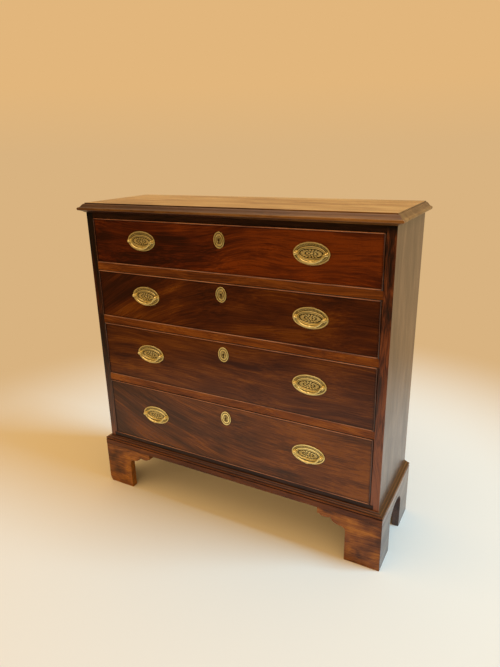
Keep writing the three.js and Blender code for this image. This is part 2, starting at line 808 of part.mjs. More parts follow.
// Lock case with its cover plate, the well for the bolt and the key pin in the keyhole.
function lockCase(top, keyHeight) {
  const half = lockWidth / 2;
  const face = frontThickness - lockDepth;
  let body = board([-half, half], [face, frontThickness], [top - lockHeight, top - glueLine]);
  const plateHalf = lockPlateWidth / 2;
  const plateDepths = [frontThickness - lockPlateDepth, frontThickness];
  body = body.add(board([-plateHalf, plateHalf], plateDepths, [top - lockPlateThickness, top]));
  const wellHalf = boltWidth / 2 + joineryGap;
  const wellDepth = boltThickness / 2 + joineryGap;
  const wellDepths = [boltDepth - wellDepth, boltDepth + wellDepth];
  const wellFoot = top - boltSink - boltLength - joineryGap;
  body = body.subtract(board([-wellHalf, wellHalf], wellDepths, [wellFoot, top + overrun]));
  body = body.subtract(keyhole(keyHeight, 0, face - overrun, face + keyWell));
  const keyPin = rod("y", keyPinRadius, face, face + keyWell + overrun, bailSides);
  return body.add(keyPin.translate([0, 0, keyHeight]));
}

// Lock bolt, drawn back flush with the cover plate.
function lockBolt(top) {
  const half = boltWidth / 2;
  const depths = [boltDepth - boltThickness / 2, boltDepth + boltThickness / 2];
  return board([-half, half], depths, [top - boltSink - boltLength, top - boltSink]);
}

// One drawer with its two handles, its lock and its escutcheon.
function drawer(opening, number, keyDrop) {
  const group = new THREE.Group();
  group.position.z = opening.bottom;
  const label = `drawer_${number}`;
  const heights = drawerHeights(opening);
  const frontMiddle = opening.height / 2 + handleRise;
  const keyHeight = opening.height - keyDrop;
  const lockTop = heights.frontTop;
  addPiece(group, `${label}_front`, drawerFront(heights, keyDrop, frontMiddle), frontMahogany);
  addPiece(group, `${label}_side_left`, drawerSide(-1, heights), drawerOak);
  addPiece(group, `${label}_side_right`, drawerSide(1, heights), drawerOak);
  addPiece(group, `${label}_back`, drawerBack(heights), drawerOak);
  addPiece(group, `${label}_bottom`, drawerBottom(heights), drawerOak);
  addPiece(group, `${label}_lock_case`, lockCase(lockTop, keyHeight), iron);
  addPiece(group, `${label}_lock_bolt`, lockBolt(lockTop), iron);
  const keyPlate = addPiece(group, `${label}_escutcheon`, escutcheon(), brass);
  keyPlate.position.z = keyHeight;
  for (const [hand, side] of [["left", -1], ["right", 1]]) {
    const handle = new THREE.Group();
    handle.position.set(side * handlePlace, 0, frontMiddle);
    addPiece(handle, `${label}_plate_${hand}`, handlePlate(), brass);
    const swing = addPiece(handle, `${label}_bail_${hand}`, bail(), brass);
    swing.position.y = -bailStandoff;
    group.add(handle);
  }
  return group;
}

// The chest, put together from the case outwards
const chest = new THREE.Group();
chest.position.y = frontPlane;
addPiece(chest, "top", topBoard(), topMahogany);
addPiece(chest, "case_side_left", caseSide(-1), caseMahogany);
addPiece(chest, "case_side_right", caseSide(1), caseMahogany);
addPiece(chest, "case_back", caseBack(), backPine);
addPiece(chest, "plinth", plinth(), caseMahogany);
openings.slice(0, -1).forEach((opening, i) => {
  addPiece(chest, `rail_${i + 1}`, drawerRail(opening.bottom), caseMahogany);
});
for (const [name, back] of [["front", false], ["back", true]]) {
  const left = bracketFoot(back);
  const right = left.mirror([1, 0, 0]);
  addPiece(chest, `foot_${name}_left`, back ? left : left.subtract(wornCorner()), footMahogany);
  addPiece(chest, `foot_${name}_right`, right, footMahogany);
}
openings.forEach((opening, i) => chest.add(drawer(opening, i + 1, keyDrops[i])));

export default chest;
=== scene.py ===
"""Looks of a mahogany bachelor's chest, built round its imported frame.

Meshes are in metres, +Z up, with the drawer fronts towards -Y. Sizes in the classes are millimetres.
"""

import json
import logging
import math
from collections.abc import Sequence
from dataclasses import dataclass, replace
from enum import Enum
from typing import ClassVar

import bmesh
import bpy
import numpy as np
from mathutils import Matrix, Vector


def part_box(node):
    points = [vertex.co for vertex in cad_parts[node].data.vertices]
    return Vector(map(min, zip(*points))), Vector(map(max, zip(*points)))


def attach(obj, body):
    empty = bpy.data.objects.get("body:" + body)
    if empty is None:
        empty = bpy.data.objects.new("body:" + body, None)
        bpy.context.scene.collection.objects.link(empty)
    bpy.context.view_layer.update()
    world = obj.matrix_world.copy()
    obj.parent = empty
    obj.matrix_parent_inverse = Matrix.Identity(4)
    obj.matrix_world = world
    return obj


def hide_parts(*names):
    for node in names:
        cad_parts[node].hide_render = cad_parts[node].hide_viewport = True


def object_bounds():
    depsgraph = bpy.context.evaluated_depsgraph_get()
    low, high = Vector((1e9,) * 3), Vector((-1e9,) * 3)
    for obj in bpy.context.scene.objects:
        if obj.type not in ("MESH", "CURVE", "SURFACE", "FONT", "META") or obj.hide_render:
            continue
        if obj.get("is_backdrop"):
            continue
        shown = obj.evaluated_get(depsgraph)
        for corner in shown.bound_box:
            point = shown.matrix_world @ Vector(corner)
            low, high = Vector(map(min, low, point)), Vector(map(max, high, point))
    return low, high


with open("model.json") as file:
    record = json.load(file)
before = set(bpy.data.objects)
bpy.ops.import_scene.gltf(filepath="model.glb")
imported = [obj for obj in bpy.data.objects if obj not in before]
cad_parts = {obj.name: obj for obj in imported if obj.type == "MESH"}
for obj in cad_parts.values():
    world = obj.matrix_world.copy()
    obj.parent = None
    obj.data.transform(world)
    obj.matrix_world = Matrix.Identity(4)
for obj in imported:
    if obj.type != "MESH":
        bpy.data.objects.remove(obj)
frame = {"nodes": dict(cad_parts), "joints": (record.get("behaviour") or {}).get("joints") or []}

Material = bpy.types.Material
Piece = bpy.types.Object
Socket = bpy.types.NodeSocket
Tree = bpy.types.NodeTree
Pair = tuple[float, float]
Triple = tuple[float, float, float]
Shades = tuple[str, str, str, str]

LOG = logging.getLogger("chest")
MM = 0.001
MERGE_MM = 0.002
SEAM_MM = 0.1
CORNER_POINTS = 4
BEAD_DIP = 0.15
TINY = 1e-9
FACE_WEIGHT = 90
FLAT_DEGREES = 1
EDGE_DEGREES = 40
BEVEL_STEPS = 2
CASE_BODY = "case"
RGBA = {"data_type": "RGBA"}
SMOOTH = {"interpolation_type": "SMOOTHSTEP"}

# Small helpers


def linear(code: str) -> tuple[float, float, float, float]:
    """Turns an sRGB hex colour to linear light.

    Args:
        code: Colour such as "#4a1c0c".

    Returns:
        Red, green, blue and an alpha of 1.
    """
    shares = [int(code[i : i + 2], 16) / 255 for i in (1, 3, 5)]
    light = [s / 12.92 if s <= 0.04045 else ((s + 0.055) / 1.055) ** 2.4 for s in shares]
    return (light[0], light[1], light[2], 1.0)


def node_box(node: str) -> tuple[np.ndarray, np.ndarray]:
    """Gives a CAD node's lowest and highest corners in millimetres."""
    low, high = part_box(node)
    return np.array(low) / MM, np.array(high) / MM


def arc(
    centre: Sequence[float], radii: Sequence[float], start: float, stop: float, count: int
) -> np.ndarray:
    """Points of an elliptical arc: centre plus radii times the cosine and sine of an even run of angles.

    Args:
        centre: Middle of the arc.
        radii: Half widths along both axes.
        start: First angle in degrees.
        stop: Last angle in degrees.
        count: Number of points, both ends included.

    Returns:
        Array of count by 2.
    """
    turn = np.radians(np.linspace(start, stop, count))
    return np.stack([centre[0] + radii[0] * np.cos(turn), centre[1] + radii[1] * np.sin(turn)], axis=1)


def widened(points: np.ndarray, *values: float | np.ndarray) -> np.ndarray:
    """Adds a column to the points for each value, which is one number or an array of them."""
    return np.column_stack([points, *(np.broadcast_to(value, len(points)) for value in values)])


def rounded_ring(x: Sequence[float], y: Sequence[float], radius: float) -> np.ndarray:
    """Rectangle with rounded corners, anticlockwise: four quarter circles whose ends the sides join.

    Args:
        x: Left and right side.
        y: Front and back side.
        radius: Corner radius.

    Returns:
        Points from the right back corner round to the right front one, by 2.
    """
    corners = [(x[1], y[1], -1, -1), (x[0], y[1], 1, -1), (x[0], y[0], 1, 1), (x[1], y[0], -1, 1)]
    rounds = [
        arc((cx + sx * radius, cy + sy * radius), (radius, radius), 90 * i, 90 * (i + 1), CORNER_POINTS)
        for i, (cx, cy, sx, sy) in enumerate(corners)
    ]
    return np.concatenate(rounds)


def inset_outline(outline: np.ndarray, distance: float) -> np.ndarray:
    """Moves every point of a closed anticlockwise outline inwards.

    A point moves along the mean of its edges' normals, by the distance over the cosine of half their angle,
    which counts as a half at least.

    Args:
        outline: Points, count by 2.
        distance: How far inwards each edge moves.

    Returns:
        The moved points.
    """
    before = outline - np.roll(outline, 1, axis=0)
    after = np.roll(outline, -1, axis=0) - outline
    before /= np.linalg.norm(before, axis=1, keepdims=True)
    after /= np.linalg.norm(after, axis=1, keepdims=True)
    mean = np.stack([-(before + after)[:, 1], (before + after)[:, 0]], axis=1)
    mean /= np.linalg.norm(mean, axis=1, keepdims=True)
    cosine = np.clip(mean[:, 0] * -before[:, 1] + mean[:, 1] * before[:, 0], 0.5, 1)
    return outline + mean * (distance / cosine)[:, None]


def beading(turn: np.ndarray, count: int) -> np.ndarray:
    """Wave of beads round a rim: a cosine with one crest for each bead, which dips a little between them."""
    return 1 - BEAD_DIP + BEAD_DIP * np.cos(count * turn)


@dataclass(frozen=True)
class Band:
    """Raised band of a stamping: a half round over the distance from its middle, with its crest rubbed."""

    middle: float
    half: float
    height: float
    rub: float = 1.35

    def lift(self, place: np.ndarray) -> np.ndarray:
        """Height that the band adds: its half round times the rub, and at most its full height."""
        rise = np.sqrt(np.clip(1 - ((place - self.middle) / self.half) ** 2, 0, 1))
        return self.height * np.minimum(self.rub * rise, 1)


class Skin:
    """Grids of points, in millimetres, gathered into one mesh."""

    def __init__(self) -> None:
        """Starts with no points."""
        self.points: list[np.ndarray] = []
        self.faces: list[list[int]] = []
        self.recess: list[np.ndarray] = []
        self.count = 0

    def grid(
        self, points: np.ndarray, ring: bool = False, caps: bool = True, recess: np.ndarray | None = None
    ) -> "Skin":
        """Adds a grid whose quads join each point to the next in its column and round its row.

        Args:
            points: Rows by columns by 3.
            ring: Joins the last row to the first.
            caps: Closes the first and the last row with one face each, unless the rows are a ring.
            recess: Depth in the relief, from 0 to 1, or on wood the darkening by dirt and painted shade.

        Returns:
            The skin itself.
        """
        rows, columns = points.shape[:2]
        row, column = np.meshgrid(np.arange(rows if ring else rows - 1), np.arange(columns), indexing="ij")
        here, below = row * columns, (row + 1) % rows * columns
        beside = (column + 1) % columns
        quads = np.stack([here + column, here + beside, below + beside, below + column], axis=-1)
        self.faces += (quads.reshape(-1, 4) + self.count).tolist()
        if caps and not ring:
            first = np.arange(columns) + self.count
            self.faces += [first[::-1].tolist(), (first + (rows - 1) * columns).tolist()]
        self.points.append(points.reshape(-1, 3))
        self.recess.append(np.zeros(rows * columns) if recess is None else recess.reshape(-1))
        self.count += rows * columns
        return self

    def slab(self, low: Sequence[float], high: Sequence[float], arris: float = 0.6) -> "Skin":
        """Adds a board with softened edges: rounded rectangles stacked along a quarter round at each end.

        Args:
            low: Lowest corner.
            high: Highest corner.
            arris: Radius of the softened edges.

        Returns:
            The skin itself.
        """
        quarter = arc((0, 0), (arris, arris), 0, 90, 3)
        insets = np.concatenate([arris - quarter[::-1, 0], arris - quarter[:, 0]])
        heights = np.concatenate([low[2] + arris - quarter[::-1, 1], high[2] - arris + quarter[:, 1]])
        rows = [
            widened(rounded_ring((low[0] + i, high[0] - i), (low[1] + i, high[1] - i), arris), z)
            for i, z in zip(insets, heights)
        ]
        return self.grid(np.stack(rows))

    def turned(self, profile: np.ndarray, centre: Sequence[float], sides: int = 32) -> "Skin":
        """Adds a turned form: a profile carried round a full circle, about a line out of the front.

        Args:
            profile: Radius and forward height of each ring.
            centre: Foot of the axis.
            sides: Points on each ring.

        Returns:
            The skin itself.
        """
        turn = np.linspace(0, 2 * np.pi, sides, endpoint=False)
        radius, forward = profile[:, :1], profile[:, 1:]
        x = centre[0] + radius * np.cos(turn)
        z = centre[2] + radius * np.sin(turn)
        y = np.broadcast_to(centre[1] - forward, x.shape)
        return self.grid(np.stack([x, y, z], axis=-1))

    def build(self, name: str, crease: float = 35.0) -> Piece:
        """Makes the object, with doubles merged, faces outward and edges sharp past an angle.

        Args:
            name: Name of the piece.
            crease: Angle in degrees past which an edge stays sharp.

        Returns:
            The new object, linked to the scene.
        """
        mesh = bpy.data.meshes.new(name)
        mesh.from_pydata((np.concatenate(self.points) * MM).tolist(), [], self.faces)
        depth = mesh.attributes.new("recess", "FLOAT", "POINT")
        depth.data.foreach_set("value", np.concatenate(self.recess).astype(np.float32))
        sheet = bmesh.new()
        sheet.from_mesh(mesh)
        bmesh.ops.remove_doubles(sheet, verts=sheet.verts, dist=MERGE_MM * MM)
        bmesh.ops.recalc_face_normals(sheet, faces=sheet.faces)
        sheet.to_mesh(mesh)
        sheet.free()
        mesh.shade_smooth()
        mesh.set_sharp_from_angle(angle=math.radians(crease))
        made = bpy.data.objects.new(name, mesh)
        bpy.context.scene.collection.objects.link(made)
        flatten(made)
        return made


def flatten(piece: Piece) -> None:
    """Keeps wide faces flat to the eye beside their soft edges: normals are weighted by the faces' areas.

    Args:
        piece: Object that takes the modifier.
    """
    weigh = piece.modifiers.new("weigh", "WEIGHTED_NORMAL")
    weigh.keep_sharp = True
    weigh.weight = FACE_WEIGHT


def carve(piece: Piece, cutter: Piece) -> None:
    """Cuts one solid out of another and deletes the cutter.

    Args:
        piece: Object that is cut.
        cutter: Closed solid that is taken away.
    """
    cut = piece.modifiers.new("cut", "BOOLEAN")
    cut.operation = "DIFFERENCE"
    cut.solver = "EXACT"
    cut.object = cutter
    finished = bpy.data.meshes.new_from_object(piece.evaluated_get(bpy.context.evaluated_depsgraph_get()))
    piece.modifiers.clear()
    piece.data = finished
    finished.name = piece.name
    flatten(piece)
    bpy.data.objects.remove(cutter)


def add_node(
    tree: Tree, kind: str, inputs: dict | None = None, out: int | str = 0, **settings: object
) -> Socket | None:
    """Adds a shader node with its settings and links.

    Args:
        tree: Tree that takes the node.
        kind: Type of the node, without Blender's ShaderNode before it.
        inputs: Inputs by name or place. An output socket is linked, and any other value is set.
        out: Output that is handed back.
        **settings: Properties of the node.

    Returns:
        The output, or None where the node has none.
    """
    made = tree.nodes.new("ShaderNode" + kind)
    for key, value in settings.items():
        setattr(made, key, value)
    for key, value in (inputs or {}).items():
        if isinstance(value, Socket):
            tree.links.new(value, made.inputs[key])
        else:
            made.inputs[key].default_value = value
    return made.outputs[out] if len(made.outputs) else None


def new_tree(owner: bpy.types.ID) -> Tree:
    """Gives a material or a world an empty node tree.

    Args:
        owner: Material or world.

    Returns:
        The tree.
    """
    owner.use_nodes = True
    owner.node_tree.nodes.clear()
    return owner.node_tree


def coloured(tree: Tree, value: Socket, stops: Sequence[float], shades: Sequence[str]) -> Socket:
    """Colours a value by its place between stops.

    Args:
        tree: Tree that takes the nodes.
        value: Value from 0 to 1.
        stops: Place of each stop, in rising order.
        shades: Hex colour of each stop.

    Returns:
        Colour socket.
    """
    colour = add_node(tree, "ValToRGB", {"Fac": value}, "Color")
    band = colour.node.color_ramp.elements
    while len(band) < len(stops):
        band.new(0.5)
    for element, place, code in zip(band, stops, shades):
        element.position = place
        element.color = linear(code)
    return colour


# Finishes


class Grain(Enum):
    """Way that the fibres of a piece run, as the turn that lays them along X."""

    ACROSS = (0.0, 0.0, 0.0)
    UPRIGHT = (0.0, math.pi / 2, 0.0)
    DEEP = (0.0, 0.0, -math.pi / 2)


@dataclass(frozen=True)
class Timber:
    """Wood with long streaks, broad figure and open pores. Sizes are millimetres.

    The tone adds three noises, each stretched along the grain: streaks, fine lines and a broad glow. A
    slow noise bends them sideways, as the fibres bend near a fork of the tree, and an arch bends them to
    parabolas: the place across the grain grows with the square of the distance from the arch's middle.
    The tone also leans: it rises by so much each metre to the right and upwards.

    A border box, given as its middle and half size, is painted darker towards its sides, as shade.
    Hollows are darkened by the hollow tint, for dirt and painted shade. A lip is the place along Y that a
    board's front edge lies before, with shades of its own.
    """

    name: str
    shades: Shades
    grain: Grain = Grain.ACROSS
    seed: float = 0.0
    streak: Pair = (300.0, 9.0)
    glow: Pair = (210.0, 45.0)
    sweep: float = 90.0
    slant: float = 0.0
    arch: float = 0.0
    arch_place: float = 0.0
    weights: Triple = (0.6, 1.0, 1.05)
    lean: Pair = (0.0, 0.0)
    roughness: float = 0.32
    polish: float = 0.35
    polish_roughness: float = 0.12
    specular: float = 0.15
    hollow_tint: str = "#5c4a3c"
    border: tuple[float, ...] | None = None
    border_reach: float = 9.0
    border_tint: str = "#8c7a70"
    lip: float | None = None
    stops: ClassVar[tuple[float, ...]] = (0.23, 0.42, 0.58, 0.77)
    fine: ClassVar[Pair] = (150.0, 2.4)
    bend: ClassVar[Pair] = (420.0, 200.0)
    noise_roughness: ClassVar[float] = 0.6
    seed_shift: ClassVar[Triple] = (1.7, 0.61, 0.37)
    lean_level: ClassVar[float] = 450.0
    pore: ClassVar[Pair] = (9.0, 0.7)
    pore_range: ClassVar[Pair] = (0.58, 0.7)
    pore_tint: ClassVar[float] = 0.4
    pore_depth: ClassVar[float] = 0.05
    pore_strength: ClassVar[float] = 0.35
    gloss_range: ClassVar[Pair] = (0.3, 0.7)
    gloss_spread: ClassVar[float] = 0.06
    # The front edge's shades run to near black, and its lean paints shade, darker upwards and leftwards.
    lip_shades: ClassVar[Shades] = ("#140703", "#351708", "#56290c", "#744222")
    lip_lean: ClassVar[Pair] = (0.35, -0.3)

    def figure(self, tree: Tree, place: Socket, size: Pair, detail: float, out: str = "Fac") -> Socket:
        """Adds a figure of a real size: a noise on the place divided by its length and its width.

        Args:
            tree: Tree of the material.
            place: Coordinates in metres, with X along the grain.
            size: Length along the grain and width across it.
            detail: Octaves of the noise.
            out: Output that is handed back.

        Returns:
            Socket of the figure.
        """
        along, across = 1 / (size[0] * MM), 1 / (size[1] * MM)
        vector = add_node(tree, "VectorMath", {0: place, 1: (along, across, across)}, operation="MULTIPLY")
        inputs = {"Vector": vector, "Scale": 1.0, "Detail": detail, "Roughness": self.noise_roughness}
        return add_node(tree, "TexNoise", inputs, out)

    def arched(self, tree: Tree, laid: Socket) -> Socket:
        """Moves a place across the grain by the square of its distance from the arch's middle.

        Args:
            tree: Tree of the material.
            laid: Coordinates with X along the grain.

        Returns:
            The moved coordinates.
        """
        if not self.arch:
            return laid
        run = add_node(tree, "SeparateXYZ", {0: laid}, "X")
        away = add_node(tree, "Math", {0: run, 1: self.arch_place * MM}, operation="SUBTRACT")
        square = add_node(tree, "Math", {0: away, 1: away}, operation="MULTIPLY")
        rise = add_node(tree, "Math", {0: square, 1: self.arch}, operation="MULTIPLY")
        shift = add_node(tree, "CombineXYZ", {"Z": rise})
        return add_node(tree, "VectorMath", {0: laid, 1: shift}, operation="ADD")

    def leaned(self, tree: Tree, place: Socket, tone: float | Socket, lean: Pair) -> Socket:
        """Raises a tone by so much each metre to the right and upwards.

        Args:
            tree: Tree of the material.
            place: Object coordinates.
            tone: Tone, as a value or a socket.
            lean: Rise of the tone each metre to the right and upwards.

        Returns:
            Tone socket.
        """
        level = (0.0, 0.0, self.lean_level * MM)
        away = add_node(tree, "VectorMath", {0: place, 1: level}, operation="SUBTRACT")
        inputs = {0: away, 1: (lean[0], 0.0, lean[1])}
        rise = add_node(tree, "VectorMath", inputs, "Value", operation="DOT_PRODUCT")
        return add_node(tree, "Math", {0: rise, 1: tone}, operation="ADD")

    def lipped(self, tree: Tree, place: Socket, tone: Socket) -> Socket:
        """Colours the tone; the front edge has its own shades, painted darker up and to the left as shade.

        Args:
            tree: Tree of the material.
            place: Object coordinates.
            tone: Tone of the figure.

        Returns:
            Colour socket.
        """
        colour = coloured(tree, tone, self.stops, self.shades)
        if self.lip is None:
            return colour
        depth = add_node(tree, "SeparateXYZ", {0: place}, "Y")
        front = add_node(tree, "Math", {0: depth, 1: self.lip * MM}, operation="LESS_THAN")
        shifted = self.leaned(tree, place, tone, self.lip_lean)
        edge = coloured(tree, shifted, self.stops, self.lip_shades)
        return add_node(tree, "Mix", {"Factor": front, 6: colour, 7: edge}, 2, **RGBA)

    def soiled(self, tree: Tree, place: Socket, colour: Socket) -> Socket:
        """Darkens hollows, for dirt and painted shade, and paints shade towards the sides of the border box.

        Args:
            tree: Tree of the material.
            place: Object coordinates.
            colour: Colour of the clean wood.

        Returns:
            Colour socket.
        """
        # Hollows are darkened, for dirt and painted shade.
        hollow = add_node(tree, "Attribute", out="Fac", attribute_name="recess")
        inputs = {"Factor": hollow, 6: colour, 7: linear(self.hollow_tint)}
        colour = add_node(tree, "Mix", inputs, 2, blend_type="MULTIPLY", **RGBA)
        if self.border is None:
            return colour
        # Towards the sides of the border box the colour is painted darker, as shade.
        middle, half = (tuple(v * MM for v in part) for part in (self.border[:3], self.border[3:]))
        away = add_node(tree, "VectorMath", {0: place, 1: middle}, operation="SUBTRACT")
        size = add_node(tree, "VectorMath", {0: away}, operation="ABSOLUTE")
        left = add_node(tree, "VectorMath", {0: half, 1: size}, operation="SUBTRACT")
        near = add_node(tree, "SeparateXYZ", {0: left}, "X")
        for side in near.node.outputs[1:]:
            near = add_node(tree, "Math", {0: near, 1: side}, operation="MINIMUM")
        inputs = {"Value": near, "From Max": self.border_reach * MM, "To Min": 1.0, "To Max": 0.0}
        dirt_and_shade = add_node(tree, "MapRange", inputs, **SMOOTH)
        inputs = {"Factor": dirt_and_shade, 6: colour, 7: linear(self.border_tint)}
        return add_node(tree, "Mix", inputs, 2, blend_type="MULTIPLY", **RGBA)

    def material(self) -> Material:
        """Builds the material: bent coordinates, then the tone, its colour, the pores and the gloss.

        Returns:
            The material.
        """
        made = bpy.data.materials.new(self.name)
        tree = new_tree(made)
        turn = (self.grain.value[0], self.grain.value[1] + math.radians(self.slant), self.grain.value[2])
        shift = tuple(self.seed * v for v in self.seed_shift)
        place = add_node(tree, "TexCoord", out="Object")
        turned = add_node(tree, "Mapping", {"Vector": place, "Rotation": turn})
        laid = add_node(tree, "VectorMath", {0: self.arched(tree, turned), 1: shift}, operation="ADD")
        drift = self.figure(tree, laid, self.bend, 1.0, "Color")
        centred = add_node(tree, "VectorMath", {0: drift, 1: (0.5, 0.5, 0.5)}, operation="SUBTRACT")
        inputs = {0: centred, 1: (0.0, self.sweep * MM, self.sweep * MM), 2: laid}
        bent = add_node(tree, "VectorMath", inputs, operation="MULTIPLY_ADD")
        streak = self.figure(tree, bent, self.streak, 3.0)
        fine = self.figure(tree, bent, self.fine, 3.0)
        glow = self.figure(tree, bent, self.glow, 2.0)
        tone = self.leaned(tree, place, 0.5 - sum(self.weights) / 2, self.lean)
        for part, weight in zip((streak, fine, glow), self.weights):
            tone = add_node(tree, "Math", {0: part, 1: weight, 2: tone}, operation="MULTIPLY_ADD")
        colour = self.lipped(tree, place, tone)
        speck = self.figure(tree, bent, self.pore, 1.0)
        low, high = self.pore_range
        pores = add_node(tree, "MapRange", {"Value": speck, "From Min": low, "From Max": high})
        faint = add_node(tree, "Math", {0: pores, 1: self.pore_tint}, operation="MULTIPLY")
        inputs = {"Factor": faint, 6: colour, 7: linear(self.shades[0])}
        pored = add_node(tree, "Mix", inputs, 2, **RGBA)
        inputs = {"Height": pores, "Strength": self.pore_strength, "Distance": self.pore_depth * MM}
        relief = add_node(tree, "Bump", inputs, invert=True)
        dull, bright = self.roughness + self.gloss_spread, self.roughness - self.gloss_spread
        low, high = self.gloss_range
        inputs = {"Value": glow, "From Min": low, "From Max": high, "To Min": dull, "To Max": bright}
        rough = add_node(tree, "MapRange", inputs)
        inputs = {
            "Base Color": self.soiled(tree, place, pored),
            "Roughness": rough,
            "Normal": relief,
            "Coat Weight": self.polish,
            "Coat Roughness": self.polish_roughness,
            "Specular IOR Level": self.specular,
        }
        add_node(tree, "OutputMaterial", {"Surface": add_node(tree, "BsdfPrincipled", inputs)})
        return made


@dataclass(frozen=True)
class Metal:
    """Metal whose hollows keep their tarnish, a dull film, while rubbed heights shine. Grit is millimetres.

    The metallic pair is for the heights and for the film: even the heights hold a haze of old lacquer and
    wax, so they scatter a little light.
    """

    name: str
    bright: str
    tarnish: str
    grit: float = 4.0
    roughness: float = 0.28
    tarnish_roughness: ClassVar[float] = 0.25
    metallic: ClassVar[Pair] = (0.78, 0.4)
    film: ClassVar[Pair] = (0.15, 0.52)
    blotch_range: ClassVar[Pair] = (0.3, 0.7)
    blotch_depth: ClassVar[float] = 0.1

    def material(self) -> Material:
        """Builds the material: the depth of the relief, made uneven by blotches, grows to a film of tarnish.

        Returns:
            The material.
        """
        made = bpy.data.materials.new(self.name)
        tree = new_tree(made)
        place = add_node(tree, "TexCoord", out="Object")
        inputs = {"Vector": place, "Scale": 1 / (self.grit * MM), "Detail": 4.0}
        blotch = add_node(tree, "TexNoise", inputs, "Fac")
        depth = add_node(tree, "Attribute", out="Fac", attribute_name="recess")
        low, high = self.blotch_range
        most = self.blotch_depth
        inputs = {"Value": blotch, "From Min": low, "From Max": high, "To Min": -most, "To Max": most}
        spread = add_node(tree, "MapRange", inputs)
        thick = add_node(tree, "Math", {0: depth, 1: spread}, operation="ADD")
        inputs = {"Value": thick, "From Min": self.film[0], "From Max": self.film[1]}
        film = add_node(tree, "MapRange", inputs, **SMOOTH)
        inputs = {"Factor": film, 6: linear(self.bright), 7: linear(self.tarnish)}
        colour = add_node(tree, "Mix", inputs, 2, **RGBA)
        dull = self.roughness + self.tarnish_roughness
        rough = add_node(tree, "MapRange", {"Value": film, "To Min": self.roughness, "To Max": dull})
        clean, filmed = self.metallic
        bare = add_node(tree, "MapRange", {"Value": film, "To Min": clean, "To Max": filmed})
        inputs = {"Base Color": colour, "Roughness": rough, "Metallic": bare}
        add_node(tree, "OutputMaterial", {"Surface": add_node(tree, "BsdfPrincipled", inputs)})
        return made


def face_border(node: str) -> tuple[float, ...]:
    """Middle and half size of a node's box, deep enough that only its width and height count.

    Args:
        node: Name of the node.

    Returns:
        Three places and three half sizes in millimetres.
    """
    low, high = node_box(node)
    half = (high - low) / 2
    half[1] = max(half)
    return (*((low + high) / 2), *half)


